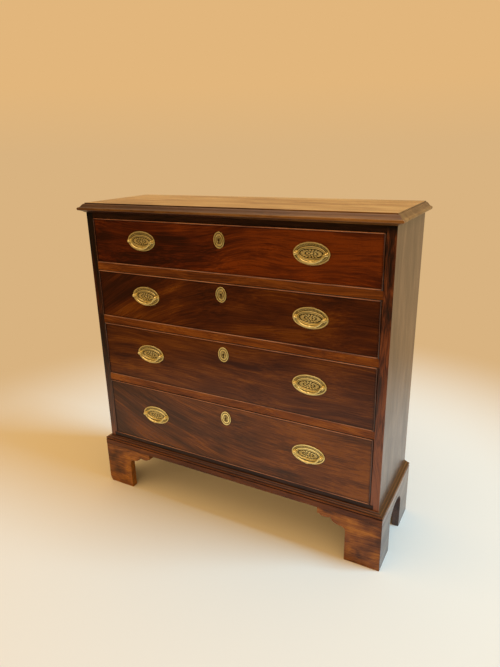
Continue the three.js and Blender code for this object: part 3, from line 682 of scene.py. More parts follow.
class Finishes:
    """Materials of the chest, each made once and shared by the pieces that wear it."""

    def __init__(self) -> None:
        """Builds every material."""
        # Old dense mahogany under french polish: deep red brown, with a glow that moves with the figure. The
        # top drawer is the reddest, and each lower one is painted paler and greyer, as the floor's bounce
        # and reflection.
        figured = [
            Timber(
                "mahogany_figured_drawer_1",
                ("#2c0f02", "#441903", "#542304", "#6a3006"),
                seed=1.0,
                sweep=110.0,
                slant=2.0,
                lean=(0.34, 0.0),
            ),
            Timber(
                "mahogany_figured_drawer_2",
                ("#2b1104", "#401c07", "#4f2709", "#64380e"),
                seed=2.7,
                glow=(260.0, 70.0),
                arch=0.42,
                arch_place=270.0,
                lean=(0.16, 0.0),
                weights=(0.6, 0.8, 1.25),
            ),
            Timber(
                "mahogany_figured_drawer_3",
                ("#321406", "#47240b", "#58300f", "#6d4213"),
                seed=3.1,
                sweep=70.0,
                glow=(240.0, 60.0),
                lean=(-0.15, 0.0),
                weights=(0.6, 0.85, 1.2),
            ),
            Timber(
                "mahogany_figured_drawer_4",
                ("#341b07", "#4a290b", "#5d340e", "#764712"),
                seed=4.6,
                sweep=50.0,
                arch=-0.35,
                arch_place=260.0,
                lean=(0.32, 0.0),
            ),
        ]
        # Each front is painted darker towards its borders, as the shade of the gap round it.
        self.fronts = [
            replace(timber, border=face_border(f"drawer_{number}_front")).material()
            for number, timber in enumerate(figured, 1)
        ]
        # The same wood in plainer cut on rails and mouldings, a little more orange where hands rub it.
        plain = ("#49240c", "#623612", "#714016", "#88551e")
        waxed = {"polish": 0.6, "specular": 0.3}
        self.rail = Timber("mahogany_plain_across", plain, seed=5.2, polish=0.2).material()
        self.moulding = Timber(
            "mahogany_plain_deep", plain, Grain.DEEP, seed=7.7, polish_roughness=0.2, **waxed
        ).material()
        # The rail under the top's overhang and the case's bottom board: painted near black, as shade.
        near_black = ("#180c06", "#21120a", "#2a170d", "#341f13")
        self.sooted = Timber("mahogany_sooted_rail", near_black, seed=5.9, polish=0.2).material()
        # The case sides and the feet's cheeks, dried and greyed by two centuries beside a window. The sides
        # are painted darker under the top's overhang, as shade, and lighter downwards, as painted
        # reflection of the floor. Their front edges keep the dark red of the rails.
        faded = ("#2c1b10", "#3f271a", "#4c3223", "#60432f")
        dry = {"roughness": 0.4, "polish_roughness": 0.22, **waxed}
        low, high = node_box("case_side_left")
        self.side = Timber(
            "mahogany_faded_upright",
            faded,
            Grain.UPRIGHT,
            seed=6.4,
            lean=(0.0, -0.3),
            border=(0.0, 0.0, 0.0, high[2], high[2], high[2]),
            border_reach=30.0,
            border_tint="#2c201a",
            lip=low[1] + 1.0,
            **dry,
        ).material()
        self.cheek = Timber("mahogany_faded_foot", faded, Grain.DEEP, seed=2.2, **dry).material()
        # The top, bleached golden by daylight on its field, while the moulded edge keeps its brown,
        # darkened in its hollows by dirt and painted shade.
        sunned = ("#6e481e", "#8f632f", "#a2763e", "#b98f51")
        self.top = Timber(
            "mahogany_sunned_top",
            sunned,
            seed=8.1,
            roughness=0.36,
            polish_roughness=0.2,
            hollow_tint="#543020",
        ).material()
        # Feet handled and kicked for two centuries: the polish is thin, and the wood blotched and paler.
        worn = ("#361a05", "#5e340b", "#794812", "#98641c")
        self.foot = Timber(
            "mahogany_worn_foot",
            worn,
            seed=9.5,
            streak=(160.0, 12.0),
            glow=(65.0, 60.0),
            weights=(0.5, 0.9, 1.15),
            roughness=0.42,
            polish_roughness=0.25,
        ).material()
        # Cock beads whose crests are pale, partly rubbed and partly a painted highlight. The uprights at
        # the ends of the drawers are painted darker, as shade.
        pale = ("#74462f", "#946046", "#a67254", "#b88466")
        end = node_box("drawer_1_front")[1][0]
        self.bead = Timber(
            "mahogany_rubbed_bead",
            pale,
            seed=4.4,
            polish=1.0,
            polish_roughness=0.1,
            hollow_tint="#2e1e18",
            border=(0.0, 0.0, 0.0, end, 2 * end, 3 * end),
            border_reach=8.0,
            border_tint="#64503f",
        ).material()
        # Planed oak, never polished: pale, dry and matt, with long pores.
        oak = ("#947650", "#ab8c5f", "#b79969", "#c3a679")
        planed = {"roughness": 0.7, "polish": 0.0, "specular": 0.25, "sweep": 30}
        self.oak_deep = Timber("oak_planed_deep", oak, Grain.DEEP, seed=1.9, **planed).material()
        self.oak_across = Timber("oak_planed_across", oak, seed=2.9, **planed).material()
        # Sawn pine back boards, gone grey brown behind the chest.
        pine = ("#775c3c", "#8a6c47", "#967851", "#a58861")
        self.pine = Timber(
            "pine_sawn", pine, Grain.UPRIGHT, seed=3.9, roughness=0.85, polish=0.0, specular=0.2, sweep=40
        ).material()
        # Stamped sheet brass: lacquer worn thin, rubbed bright on the heights and olive in the hollows.
        self.brass = Metal("brass_stamped", "#fbeaa2", "#302608").material()
        # Wrought iron of the locks, oiled and dark.
        self.iron = Metal("iron_wrought", "#6e675e", "#332c26", grit=6.0, roughness=0.45).material()


def dress(piece: Piece, finish: Material, body: str, slot: str, *replaced: str) -> None:
    """Gives a new piece its finish, its body and the nodes that it stands for, and reports it.

    Args:
        piece: New object.
        finish: Material of the piece.
        body: CAD body that it moves with.
        slot: Material slot of the record; not used.
        *replaced: CAD nodes that it stands for.
    """
    piece.data.materials.clear()
    piece.data.materials.append(finish)
    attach(piece, body)
    if replaced:
        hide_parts(*replaced)
    LOG.info("%s: %d faces on %s", piece.name, len(piece.data.polygons), body)


def keep(node: str, finish: Material, arris: float = 0.5) -> None:
    """Gives a CAD node its finish and softens its edges with live modifiers.

    Args:
        node: Name of the node.
        finish: Material of the node.
        arris: Width of the softened edges in millimetres.
    """
    kept = frame["nodes"][node]
    kept.data.materials.clear()
    kept.data.materials.append(finish)
    kept.data.shade_smooth()
    weld = kept.modifiers.new("weld", "WELD")
    weld.merge_threshold = MERGE_MM * MM
    flat = kept.modifiers.new("flat", "DECIMATE")
    flat.decimate_type = "DISSOLVE"
    flat.angle_limit = math.radians(FLAT_DEGREES)
    if arris:
        soft = kept.modifiers.new("soft", "BEVEL")
        soft.width = arris * MM
        soft.segments = BEVEL_STEPS
        soft.limit_method = "ANGLE"
        soft.angle_limit = math.radians(EDGE_DEGREES)
        soft.use_clamp_overlap = True
    flatten(kept)
    LOG.info("%s: kept", node)


# Sub-assemblies


class Hand(Enum):
    """Left or right half of the chest, as the sign of its places across."""

    LEFT = -1
    RIGHT = 1

    @property
    def word(self) -> str:
        """Word for the half in the names of nodes and pieces."""
        return self.name.lower()


@dataclass
class Top:
    """Top board with its moulded edge, and the rail and kickers glued under it."""

    finishes: Finishes
    thickness: float = 26.5
    front_overhang: float = 20.0
    under_inset: float = 16.0
    under_rise: float = 6.2
    under_hollow: float = 0.7
    nose_inset: float = 3.0
    nose_height: float = 8.0
    fillet_inset: float = 16.2
    fillet_step: float = 0.8
    fillet_height: float = 2.4
    bulge_share: float = 0.11
    arris: float = 0.6
    corner: float = 0.5
    # Darkening of the nose, ogee and lip, for dirt and painted shade. Wear by hands and painted light lift
    # it at the front, and painted reflection a little at the ends.
    nose_dirt: Pair = (0.9, 0.68)
    ogee_dirt: Pair = (0.95, 0.9)
    lip_dirt: Pair = (1.0, 0.9)
    lip_reach: float = 2.5
    ogee_touch: Pair = (0.6, 0.15)
    wear: float = 0.6
    end_wear: float = 0.1
    wear_place: float = 330.0
    wear_reach: float = 200.0
    wear_steps: int = 32
    rail_depth: float = 60.0
    rail_end: float = 425.9
    kicker_width: float = 30.0
    kicker_rear: float = 138.9
    mortise: Triple = (10.25, 3.5, 10.0)
    mortise_behind_front: float = 16.5
    mortise_arris: float = 0.3

    def __post_init__(self) -> None:
        """Reads the board's corners, its underside and the face of the case from the frame."""
        self.low, self.high = node_box("top")
        self.under = self.high[2] - self.thickness
        self.front = self.low[1] + self.front_overhang

    def profile(self) -> np.ndarray:
        """Gives the moulded edge from the underside to the field.

        A slope hollowed by a half sine leaves the underside, and a half ellipse is the nose. An ogee
        follows, whose height runs behind and then ahead of its inset as a sine, and a fillet ends it.

        Returns:
            Inset, height, dirt and painted shade, and reach of wear and painted light at each point.
        """
        t = np.linspace(0, 1, 9)
        slope = self.under_inset + (self.nose_inset - self.under_inset) * t
        under = np.stack([slope, self.under_rise * t + self.under_hollow * np.sin(np.pi * t)], axis=1)
        half = self.nose_height / 2
        nose = arc((self.nose_inset, self.under_rise + half), (-self.nose_inset, half), -90, 90, 19)[1:]
        rounding = np.sin(np.linspace(0, np.pi, len(nose))) ** 2
        t = np.linspace(0, 1, 25)[1:]
        foot, crown = nose[-1], np.array([self.fillet_inset, self.thickness - self.fillet_height])
        wave = self.bulge_share * np.sin(2 * np.pi * t)
        ogee = foot + (crown - foot) * np.stack([t, t - wave], axis=1)
        step = self.fillet_inset + self.fillet_step
        lip = arc((step + self.arris, self.thickness - self.arris), (self.arris, self.arris), 180, 90, 4)
        hollow, crest = self.nose_dirt
        first, last = self.ogee_dirt
        # The underside and the fillet's step are fully darkened, as painted shade.
        return np.concatenate(
            [
                widened(under, 1.0, 1.0),
                widened(nose, hollow + (crest - hollow) * rounding, 1.0),
                widened(ogee, first + (last - first) * t, np.linspace(*self.ogee_touch, len(t))),
                widened(np.array([[step, crown[1]]]), 1.0, 1.0),
                widened(lip, np.linspace(*self.lip_dirt, len(lip)), 1.0),
                widened(lip[-1:] + [self.lip_reach, 0.0], 0.0, 1.0),
            ]
        )

    def board(self) -> Piece:
        """Builds the board from a rounded rectangle for each point of the profile, flush at the back.

        Its front has more points, for a bell curve of the place across that lifts the darkening there: wear
        by hands and painted light. The ends are lightened a little as painted reflection.

        Returns:
            The new object.
        """
        low, high = self.low, self.high
        right = 3 * CORNER_POINTS
        rows, dirt_and_shade = [], []
        for inset, height, depth, touched in self.profile():
            ring = rounded_ring((low[0] + inset, high[0] - inset), (low[1] + inset, high[1]), self.corner)
            front = np.linspace(ring[right - 1], ring[right], self.wear_steps)[1:-1]
            ring = np.concatenate([ring[:right], front, ring[right:]])
            # The bell stands for wear by hands and painted light; the ends get painted reflection.
            hands = self.wear * np.exp(-(((ring[:, 0] - self.wear_place) / self.wear_reach) ** 2))
            rubbed = touched * np.where(ring[:, 1] < self.front, hands, self.end_wear)
            rows.append(widened(ring, self.under + height))
            dirt_and_shade.append(depth * (1 - rubbed))
        return Skin().grid(np.stack(rows), recess=np.stack(dirt_and_shade)).build("top_board", crease=50)

    def rail(self) -> Piece:
        """Builds the rail under the front of the top, with the mortise for the top drawer's bolt.

        Returns:
            The new object.
        """
        end, floor, rear = self.rail_end, self.low[2], self.front + self.rail_depth
        high = (end, rear, self.under - SEAM_MM / 2)
        made = Skin().slab((-end, self.front, floor), high).build("top_rail")
        wide, deep, tall = self.mortise
        middle = self.front + self.mortise_behind_front
        low, high = (-wide, middle - deep, floor - tall), (wide, middle + deep, floor + tall)
        carve(made, Skin().slab(low, high, self.mortise_arris).build("mortise"))
        return made

    def kickers(self) -> Piece:
        """Builds the pair of kickers behind the rail, along the case sides.

        Returns:
            The new object.
        """
        start = self.front + self.rail_depth + SEAM_MM
        skin = Skin()
        for x in (-self.rail_end, self.rail_end - self.kicker_width):
            high = (x + self.kicker_width, self.kicker_rear, self.under - SEAM_MM / 2)
            skin.slab((x, start, self.low[2]), high)
        return skin.build("top_kickers")

    def make(self) -> None:
        """Builds and dresses the pieces."""
        dress(self.board(), self.finishes.top, CASE_BODY, "top_mahogany", "top")
        dress(self.rail(), self.finishes.sooted, CASE_BODY, "case_mahogany")
        dress(self.kickers(), self.finishes.oak_deep, CASE_BODY, "drawer_oak")


@dataclass
class Plinth:
    """Moulded plinth frame, mitred at the front, with the case's bottom board and its drawer stops."""

    finishes: Finishes
    overhang: float = 14.5
    frame_width: float = 62.0
    rear_width: float = 45.0
    fascia: float = 17.0
    quirk: Pair = (1.7, 2.6)
    nose: float = 5.0
    slope: float = 5.9
    slope_hollow: float = 0.6
    reeds: int = 2
    reed_depth: float = 0.7
    fillet: float = 1.0
    ledge: float = 25.5
    arris: float = 0.6
    # Darkening of the section, for dirt and painted shade: the quirk is a painted shadow line, and the
    # nose's and reeds' crests stay pale, partly rubbed and partly painted highlight.
    foot_dirt: float = 0.5
    shoulder_dirt: float = 0.2
    nose_dirt: float = 0.8
    reed_dirt: float = 0.95
    reed_crest: float = 0.8
    hidden_dirt: float = 0.8
    bottom_end: float = 433.9
    bottom_rear: float = 138.9
    bottom_top: float = 44.5
    stop: Triple = (40.0, 20.0, 5.0)
    stop_arris: float = 0.4
    stop_behind_front: float = 22.3
    stop_place_share: float = 0.6

    def __post_init__(self) -> None:
        """Reads the frame's corners, and the half width and the face of the case, from its node."""
        self.low, self.high = node_box("plinth")
        self.half = self.high[0] - self.overhang
        self.front = self.low[1] + self.overhang

    def profile(self) -> np.ndarray:
        """Gives the closed section: fascia, round quirk, half-round nose, reeded slope, fillet and back.

        The slope falls by a half sine, and by the size of a faster sine whose zeros are the crests between
        small hollows.

        Returns:
            Distance out from the case, height over the feet, and dirt and painted shade at each point.
        """
        out, first, arris = self.overhang, self.fascia, self.arris
        deep, high = self.quirk
        second = first + high
        third = second + self.nose
        radii = (arris, arris)
        foot = arc((out - arris, arris), radii, -90, 0, 4)
        shoulder = arc((out - arris, first - arris), radii, 0, 90, 4)
        groove = arc((out - arris, first + high / 2), (arris - deep, high / 2), -70, 70, 7)
        half = self.nose / 2
        nose = arc((out - half, second + half), (half, half), -80, 80, 10)
        t = np.linspace(0, 1, 12 * self.reeds + 1)
        wave = np.abs(np.sin(np.pi * self.reeds * t))
        height = third + self.slope * t - self.slope_hollow * np.sin(np.pi * t) - self.reed_depth * wave
        slope = np.stack([SEAM_MM + (out - deep) * (1 - t), height], axis=1)
        top, inner, ledge = third + self.slope + self.fillet, out - self.frame_width, self.ledge
        rest = np.array([[SEAM_MM, top], [SEAM_MM, ledge], [inner, ledge], [inner, 0.0]])
        return np.concatenate(
            [
                widened(foot, self.foot_dirt),
                widened(shoulder, self.shoulder_dirt),
                widened(groove, 1.0),
                widened(nose, self.nose_dirt * (1 - np.sin(np.linspace(0, np.pi, len(nose))))),
                widened(slope, self.reed_dirt * wave**self.reed_crest),
                widened(rest, self.hidden_dirt),
            ]
        )

    def run(self, name: str, ends: Sequence[tuple[np.ndarray, np.ndarray]]) -> Piece:
        """Carries the section straight from one end to the other.

        Args:
            name: Name of the piece.
            ends: Place across and place deep of the section's points, at each end.

        Returns:
            The new object.
        """
        _, height, dirt_and_shade = self.profile().T
        rows = [np.stack([x, y, self.low[2] + height], axis=-1) for x, y in ends]
        return Skin().grid(np.stack(rows), recess=np.stack([dirt_and_shade, dirt_and_shade])).build(name, crease=50)

    def mouldings(self) -> list[Piece]:
        """Builds the runs along the front, the left side and the right side, with mitres where they meet.

        Returns:
            The three objects.
        """
        out = self.profile()[:, 0]
        mitre = self.half + out - SEAM_MM / 2
        face, rear = self.front - out, np.full(len(out), self.high[1])
        runs = [self.run("plinth_front", [(-mitre, face), (mitre, face)])]
        for hand in Hand:
            across = hand.value * (self.half + out)
            runs.append(self.run(f"plinth_{hand.word}", [(across, face + SEAM_MM / 2), (across, rear)]))
        return runs

    def rear(self) -> Piece:
        """Builds the back rail of the frame, between the side runs.

        Returns:
            The new object.
        """
        end, rear, floor = self.high[0] - self.frame_width - SEAM_MM, self.high[1], self.low[2]
        low, high = (-end, rear - self.rear_width, floor), (end, rear, floor + self.ledge)
        return Skin().slab(low, high).build("plinth_rear")

    def bottom(self) -> Piece:
        """Builds the bottom board of the case.

        Returns:
            The new object.
        """
        end, floor = self.bottom_end, self.low[2]
        low = (-end, self.front, floor + self.ledge + SEAM_MM)
        return Skin().slab(low, (end, self.bottom_rear, floor + self.bottom_top)).build("case_bottom")

    def stops(self) -> Piece:
        """Builds the stops that the lowest drawer meets.

        Returns:
            The new object.
        """
        length, depth, height = self.stop
        near = self.front + self.stop_behind_front
        base = self.low[2] + self.bottom_top
        skin = Skin()
        for hand in Hand:
            middle = hand.value * self.stop_place_share * self.half
            low = (middle - length / 2, near, base + SEAM_MM / 2)
            skin.slab(low, (middle + length / 2, near + depth, base + height), self.stop_arris)
        return skin.build("bottom_stops")

    def make(self) -> None:
        """Builds and dresses the pieces."""
        finishes = self.finishes
        front, *sides = self.mouldings()
        dress(front, finishes.rail, CASE_BODY, "case_mahogany", "plinth")
        for side in sides:
            dress(side, finishes.moulding, CASE_BODY, "case_mahogany")
        dress(self.rear(), finishes.pine, CASE_BODY, "back_pine")
        dress(self.bottom(), finishes.sooted, CASE_BODY, "case_mahogany")
        dress(self.stops(), finishes.oak_across, CASE_BODY, "drawer_oak")


@dataclass
class Foot:
    """Bracket foot: two boards mitred at the corner, with glue blocks behind them."""

    finishes: Finishes
    hand: Hand
    back: bool
    board: float = 20.0
    front_leg: float = 97.0
    side_leg: float = 90.0
    back_leg: float = 84.0
    spring: float = 92.0
    cove: float = 12.0
    lobe: Pair = (30.0, 20.0)
    cusp: Pair = (16.0, 6.0)
    wing_end: float = 6.0
    crown_drop: float = 16.0
    back_wing: float = 46.0
    corner_block: float = 34.0
    block_lift: float = 4.0
    block_arris: float = 1.0
    rail_block: float = 20.0
    arris: float = 0.7
    worn: Pair = (8.0, 20.0)
    worn_knee: Pair = (0.42, 0.45)
    worn_clear: float = 5.0

    def __post_init__(self) -> None:
        """Reads the foot's outer corner, its height and its depth from its node."""
        self.node = f"foot_{'back' if self.back else 'front'}_{self.hand.word}"
        low, high = node_box(self.node)
        self.outer = low[0] if self.hand is Hand.LEFT else high[0]
        self.face = high[1] if self.back else low[1]
        self.inward = -1 if self.back else 1
        self.top = high[2] - low[2]
        self.reach = high[1] - low[1]

    def spot(self, run: np.ndarray, depth: np.ndarray) -> tuple[np.ndarray, np.ndarray]:
        """Gives the places across and deep of runs from the outer side and depths behind the face."""
        return self.outer - self.hand.value * run, self.face + self.inward * depth

    def front_outline(self) -> np.ndarray:
        """Gives a front bracket's face: straight leg, hollow corner, long lobe, then a small hanging lobe.

        Returns:
            Run and height of each point.
        """
        start = self.front_leg + self.cove
        tip = (start + self.lobe[0], self.spring + self.cove + self.lobe[1])
        last = tip[0] + 2 * self.cusp[0] + self.wing_end
        return np.concatenate(
            [
                [[0, 0], [self.front_leg, 0]],
                arc((start, self.spring), (self.cove, self.cove), 180, 90, 12),
                arc((start, tip[1]), self.lobe, -90, 0, 14)[1:],
                arc((tip[0] + self.cusp[0], tip[1]), self.cusp, 180, 360, 16)[1:],
                [[last, tip[1]], [last, self.top], [0, self.top]],
            ]
        )

    def arch_outline(self, leg: float, reach: float) -> np.ndarray:
        """Gives a side or back bracket's face: straight leg and a quarter oval up to the plinth.

        Args:
            leg: Width of the leg.
            reach: Length of the board.

        Returns:
            Run and height of each point.
        """
        rise = self.top - self.crown_drop - self.spring
        curve = arc((reach, self.spring), (reach - leg, rise), 180, 90, 20)
        return np.concatenate([[[0, 0], [leg, 0]], curve, [[reach, self.top], [0, self.top]]])

    def bracket(self, part: str, outline: np.ndarray, along_side: bool) -> Piece:
        """Carries an outline through the board's thickness with softened edges, and mitres its outer end.

        Args:
            part: Last word of the piece's name.
            outline: Run and height of each point.
            along_side: Whether the board runs along the side of the chest.

        Returns:
            The new object.
        """
        rows = np.stack([inset_outline(outline, inset) for inset in (self.arris, 0, 0, self.arris)])
        depths = np.array([0, self.arris, self.board - self.arris, self.board])
        depth = np.broadcast_to(depths[:, None], rows.shape[:2])
        run = np.maximum(rows[..., 0], depth)
        x, y = self.spot(depth, run) if along_side else self.spot(run, depth)
        return Skin().grid(np.stack([x, y, rows[..., 1]], axis=-1)).build(f"{self.node}_{part}", crease=40)

    def blocks(self) -> Piece:
        """Builds the glue blocks in the corner and under the plinth.

        Returns:
            The new object.
        """
        near = self.board + SEAM_MM
        corner, rail = near + self.corner_block, near + self.rail_block
        beyond = corner + 2 * SEAM_MM
        under = (self.top - self.rail_block, self.top)
        spans = [
            ((near, corner), (near, corner), (self.block_lift, self.top)),
            ((beyond, self.front_leg + self.cove), (near, rail), under),
            ((near, rail), (beyond, self.side_leg + self.cove), under),
        ]
        skin = Skin()
        for across, deep, up in spans:
            x, y = (sorted(places) for places in self.spot(np.array(across), np.array(deep)))
            skin.slab((x[0], y[0], up[0]), (x[1], y[1], up[1]), self.block_arris)
        return skin.build(f"{self.node}_blocks")

    def worn_cutter(self) -> Piece:
        """Builds the wedge that rubs off the outer lower corner, from the worn width to the worn height.

        Returns:
            The cutter.
        """
        wide, high = self.worn
        knee = (wide * self.worn_knee[0], high * self.worn_knee[1])
        past = -self.worn_clear
        points = np.array([[past, past], [wide, past], [wide, 0], knee, [0, high], [past, high]])
        points[:, 0] += self.outer
        rows = [np.insert(points, 1, y, axis=1) for y in (self.face + past, self.face + self.board)]
        return Skin().grid(np.stack(rows)).build("worn")

    def make(self) -> None:
        """Builds and dresses the boards and blocks. The corner of the front left foot is worn."""
        if self.back:
            outline = self.arch_outline(self.back_leg, self.back_leg + self.back_wing)
        else:
            outline = self.front_outline()
        face = self.bracket("face", outline, False)
        cheek = self.bracket("cheek", self.arch_outline(self.side_leg, self.reach), True)
        if self.hand is Hand.LEFT and not self.back:
            for piece in (face, cheek):
                carve(piece, self.worn_cutter())
        dress(face, self.finishes.foot, CASE_BODY, "foot_mahogany", self.node)
        dress(cheek, self.finishes.cheek, CASE_BODY, "foot_mahogany")
        dress(self.blocks(), self.finishes.pine, CASE_BODY, "back_pine")


@dataclass
class Handle:
    """Oval stamped plate with two posts and the bail that hangs between them."""

    finishes: Finishes
    drawer: int
    hand: Hand
    half_width: float = 47.0
    half_height: float = 27.5
    sheet: float = 0.9
    sunk: float = 0.1
    ovals: int = 112
    oval_points: int = 336
    rim: Band = Band(1.8, 1.8, 1.3)
    rim_beads: int = 84
    leaf_band: Band = Band(6.3, 2.4, 0.75)
    leaves: int = 56
    leaf_slant: float = 0.55
    leaf_edge: float = 1.3
    mouldings: tuple[Band, ...] = (Band(11.3, 1.7, 1.2), Band(15.0, 1.0, 0.9))
    patera: Pair = (29.5, 10.2)
    outer_petals: tuple[Band, int] = (Band(0.75, 0.24, 0.9, 1.0), 18)
    inner_petals: tuple[Band, int] = (Band(0.37, 0.13, 0.9, 1.0), 9)
    petal_edge: float = 0.6
    knob: Band = Band(0.0, 0.18, 1.1, 1.0)
    tarnish_depth: float = 0.8
    post_place: float = 38.5
    post_ball: float = 4.1
    post_foot: float = 4.6
    post_stem: float = 2.7
    post_flare: float = 0.5
    flange: Triple = (0.5, 1.7, 2.3)
    flange_slope: float = 0.8
    bail_arm: float = 32.2
    bail_drop: float = 20.0
    bow_start: float = 0.12
    arm_radius: float = 1.8
    grip_radius: float = 2.7
    knop_radius: float = 3.4
    knop_half: float = 2.4
    knop_slope: float = 1.4
    knop_round: float = 0.7
    pin_radius: float = 1.4
    bail_dirt: float = 0.05
    nut: float = 9.0
    nut_thickness: float = 4.0
    nut_arris: float = 0.5
    shank_radius: float = 2.0
    shank_beyond: float = 1.1
    threads: int = 8
    thread_depth: float = 0.12
    front_thickness: float = 22.0

    def __post_init__(self) -> None:
        """Reads the middle of the bail's axis, and the face of the drawer front under the plate."""
        self.body = f"drawer_{self.drawer}"
        self.bail_body = f"bail_{self.drawer}_{self.hand.word}"
        joint = next(j for j in frame["joints"] if j["name"] == f"{self.bail_body}_swing")
        self.pivot = np.array(joint["pos_m"]) / MM
        self.face = node_box(f"{self.body}_front")[0][1] + Drawer.bead_proud

    def named(self, part: str) -> str:
        """Name of one of the handle's pieces."""
        return f"{self.body}_{self.hand.word}_{part}"

    def relief(self, inset: np.ndarray, run: np.ndarray, x: np.ndarray, z: np.ndarray) -> np.ndarray:
        """Gives the height of the stamped ornament over the drawer front.

        Bands lie at fixed insets from the edge: a beaded rim, a band of slanting leaves and two oval
        mouldings. Inside them a long patera has two rings of petals round a knob. Each band is a half round
        in the inset, or in the patera's own radius, times a wave along it.

        Args:
            inset: Distance inwards from the edge.
            run: Share of the way round the oval, in turns.
            x: Place across, from the plate's middle.
            z: Place up, from the plate's middle.

        Returns:
            Height in millimetres.
        """
        turn = 2 * np.pi * run
        leaf = np.abs(np.sin(self.leaves * turn / 2 + self.leaf_slant * inset)) ** self.leaf_edge
        height = self.sheet + self.rim.lift(inset) * beading(turn, self.rim_beads)
        height += self.leaf_band.lift(inset) * leaf
        for moulding in self.mouldings:
            height += moulding.lift(inset)
        across, up = x / self.patera[0], z / self.patera[1]
        radius, angle = np.hypot(across, up), np.arctan2(up, across)
        for ring, count in (self.outer_petals, self.inner_petals):
            height += ring.lift(radius) * np.abs(np.cos(count * angle / 2)) ** self.petal_edge
        return height + self.knob.lift(radius)

    def plate(self) -> Piece:
        """Builds the plate as a grid of ovals, each a fixed inset from the edge, down to a line.

        The points of an oval are spread evenly along it, and the relief lifts them.

        Returns:
            The new object.
        """
        fine = np.linspace(0, 2 * np.pi, 2001)
        steps = np.hypot(self.half_width * np.diff(np.cos(fine)), self.half_height * np.diff(np.sin(fine)))
        along = np.concatenate([[0], np.cumsum(steps)])
        run = np.linspace(0, 1, self.oval_points, endpoint=False)
        turn = np.interp(run * along[-1], along, fine)
        inset = np.linspace(0, self.half_height, self.ovals)[:, None]
        x = (self.half_width - inset) * np.cos(turn)
        z = (self.half_height - inset) * np.sin(turn)
        height = self.relief(np.broadcast_to(inset, x.shape), run, x, z)
        depth = np.clip(1 - (height - self.sheet) / self.tarnish_depth, 0, 1)
        front = np.stack([self.pivot[0] + x, self.face - height, self.pivot[2] + z], axis=-1)
        edge = front[:1].copy()
        edge[..., 1] = self.face - self.sunk
        skin = Skin().grid(np.concatenate([edge, front]), recess=np.concatenate([depth[:1], depth]))
        return skin.build(self.named("plate"), crease=60)

    def posts(self) -> Piece:
        """Builds the turned posts with round heads, on a flange that sits on the plate.

        The stem's radius is least in its middle and grows by the size of a cosine.

        Returns:
            The new object.
        """
        stand, foot = self.face - self.pivot[1], self.post_foot
        base, edge, top = self.flange
        flange = [[0.0, base], [foot, base], [foot, edge], [foot - self.flange_slope, top]]
        angle = np.linspace(0, np.pi, 7)
        radius = self.post_stem + self.post_flare * np.abs(np.cos(angle))
        stem = np.stack([radius, stand / 2 - stand / 4 * np.cos(angle)], axis=1)
        ball = arc((0, stand), (self.post_ball, self.post_ball), -50, 90, 14)
        profile = np.concatenate([flange, stem, ball])
        # The head closes in a point, without the rounding left by the cosine.
        profile[-1, 0] = 0
        skin = Skin()
        for hand in Hand:
            skin.turned(profile, (self.pivot[0] + hand.value * self.post_place, self.face, self.pivot[2]))
        return skin.build(self.named("posts"), crease=45)

    def nuts(self) -> Piece:
        """Builds the square nuts and threaded shanks behind the drawer front.

        The shank's radius is a cosine of the place along it, with a crest for each thread.

        Returns:
            The new object.
        """
        height, half = self.pivot[2], self.nut / 2
        inner = self.face + self.front_thickness + SEAM_MM
        length = self.front_thickness + self.nut_thickness + self.shank_beyond
        share = np.linspace(0, 1, 3 * self.threads)
        depth = self.thread_depth
        radius = self.shank_radius - depth + depth * np.cos(2 * np.pi * self.threads * share)
        shank = np.stack([radius, share * length - length - SEAM_MM], axis=1)
        profile = np.concatenate([[[0.0, shank[0, 1]]], shank, [[0.0, shank[-1, 1]]]])
        skin = Skin()
        for hand in Hand:
            x = self.pivot[0] + hand.value * self.post_place
            high = (x + half, inner + self.nut_thickness, height + half)
            skin.slab((x - half, inner, height - half), high, self.nut_arris)
            skin.turned(profile, (x, self.face, height), 16)
        return skin.build(self.named("nuts"))

    def bail(self) -> Piece:
        """Builds the bail as a tube of changing radius along its path.

        Each half of the path is a pin, an elbow and a quarter oval. The radius grows with the sine of the
        oval's angle and swells into a knop in the middle.

        Returns:
            The new object.
        """
        arm, pin, end = self.arm_radius, self.pin_radius, self.bail_arm + self.arm_radius
        straight = np.linspace(self.post_place + self.post_ball, end, 6)[:, None]
        elbow = arc((end, -arm), (-arm, arm), 90, 0, 6)[1:]
        angle = np.linspace(self.bow_start, np.pi / 2, 60)
        bow = np.stack([self.bail_arm * np.cos(angle), -self.bail_drop * np.sin(angle)], axis=1)
        knop = np.clip((self.knop_half + self.knop_slope - bow[:, 0]) / self.knop_slope, 0, 1)
        swell = arm + (self.grip_radius - arm) * np.sin(angle)
        swell += (self.knop_radius - self.grip_radius) * knop**self.knop_round
        half = np.concatenate(
            [
                widened(straight, 0.0, pin),
                widened(elbow, np.linspace(pin, arm, len(elbow))),
                widened(bow, swell)[:-1],
            ]
        )
        whole = np.concatenate([half, half[::-1] * [-1, 1, 1]])
        path, radius = whole[:, :2], whole[:, 2:]
        tangent = np.gradient(path, axis=0)
        tangent /= np.linalg.norm(tangent, axis=1, keepdims=True)
        turn = np.linspace(0, 2 * np.pi, 20, endpoint=False)
        out = radius * np.cos(turn)
        x = self.pivot[0] + path[:, :1] + out * tangent[:, 1:]
        y = self.pivot[1] + radius * np.sin(turn)
        z = self.pivot[2] + path[:, 1:] - out * tangent[:, :1]
        skin = Skin().grid(np.stack([x, y, z], axis=-1), recess=np.full(x.shape, self.bail_dirt))
        return skin.build(self.named("bail"), crease=45)

    def make(self) -> None:
        """Builds and dresses the pieces."""
        brass, word = self.finishes.brass, self.hand.word
        dress(self.plate(), brass, self.body, "brass", f"{self.body}_plate_{word}")
        dress(self.posts(), brass, self.body, "brass")
        dress(self.nuts(), brass, self.body, "brass")
        dress(self.bail(), brass, self.bail_body, "brass", f"{self.body}_bail_{word}")


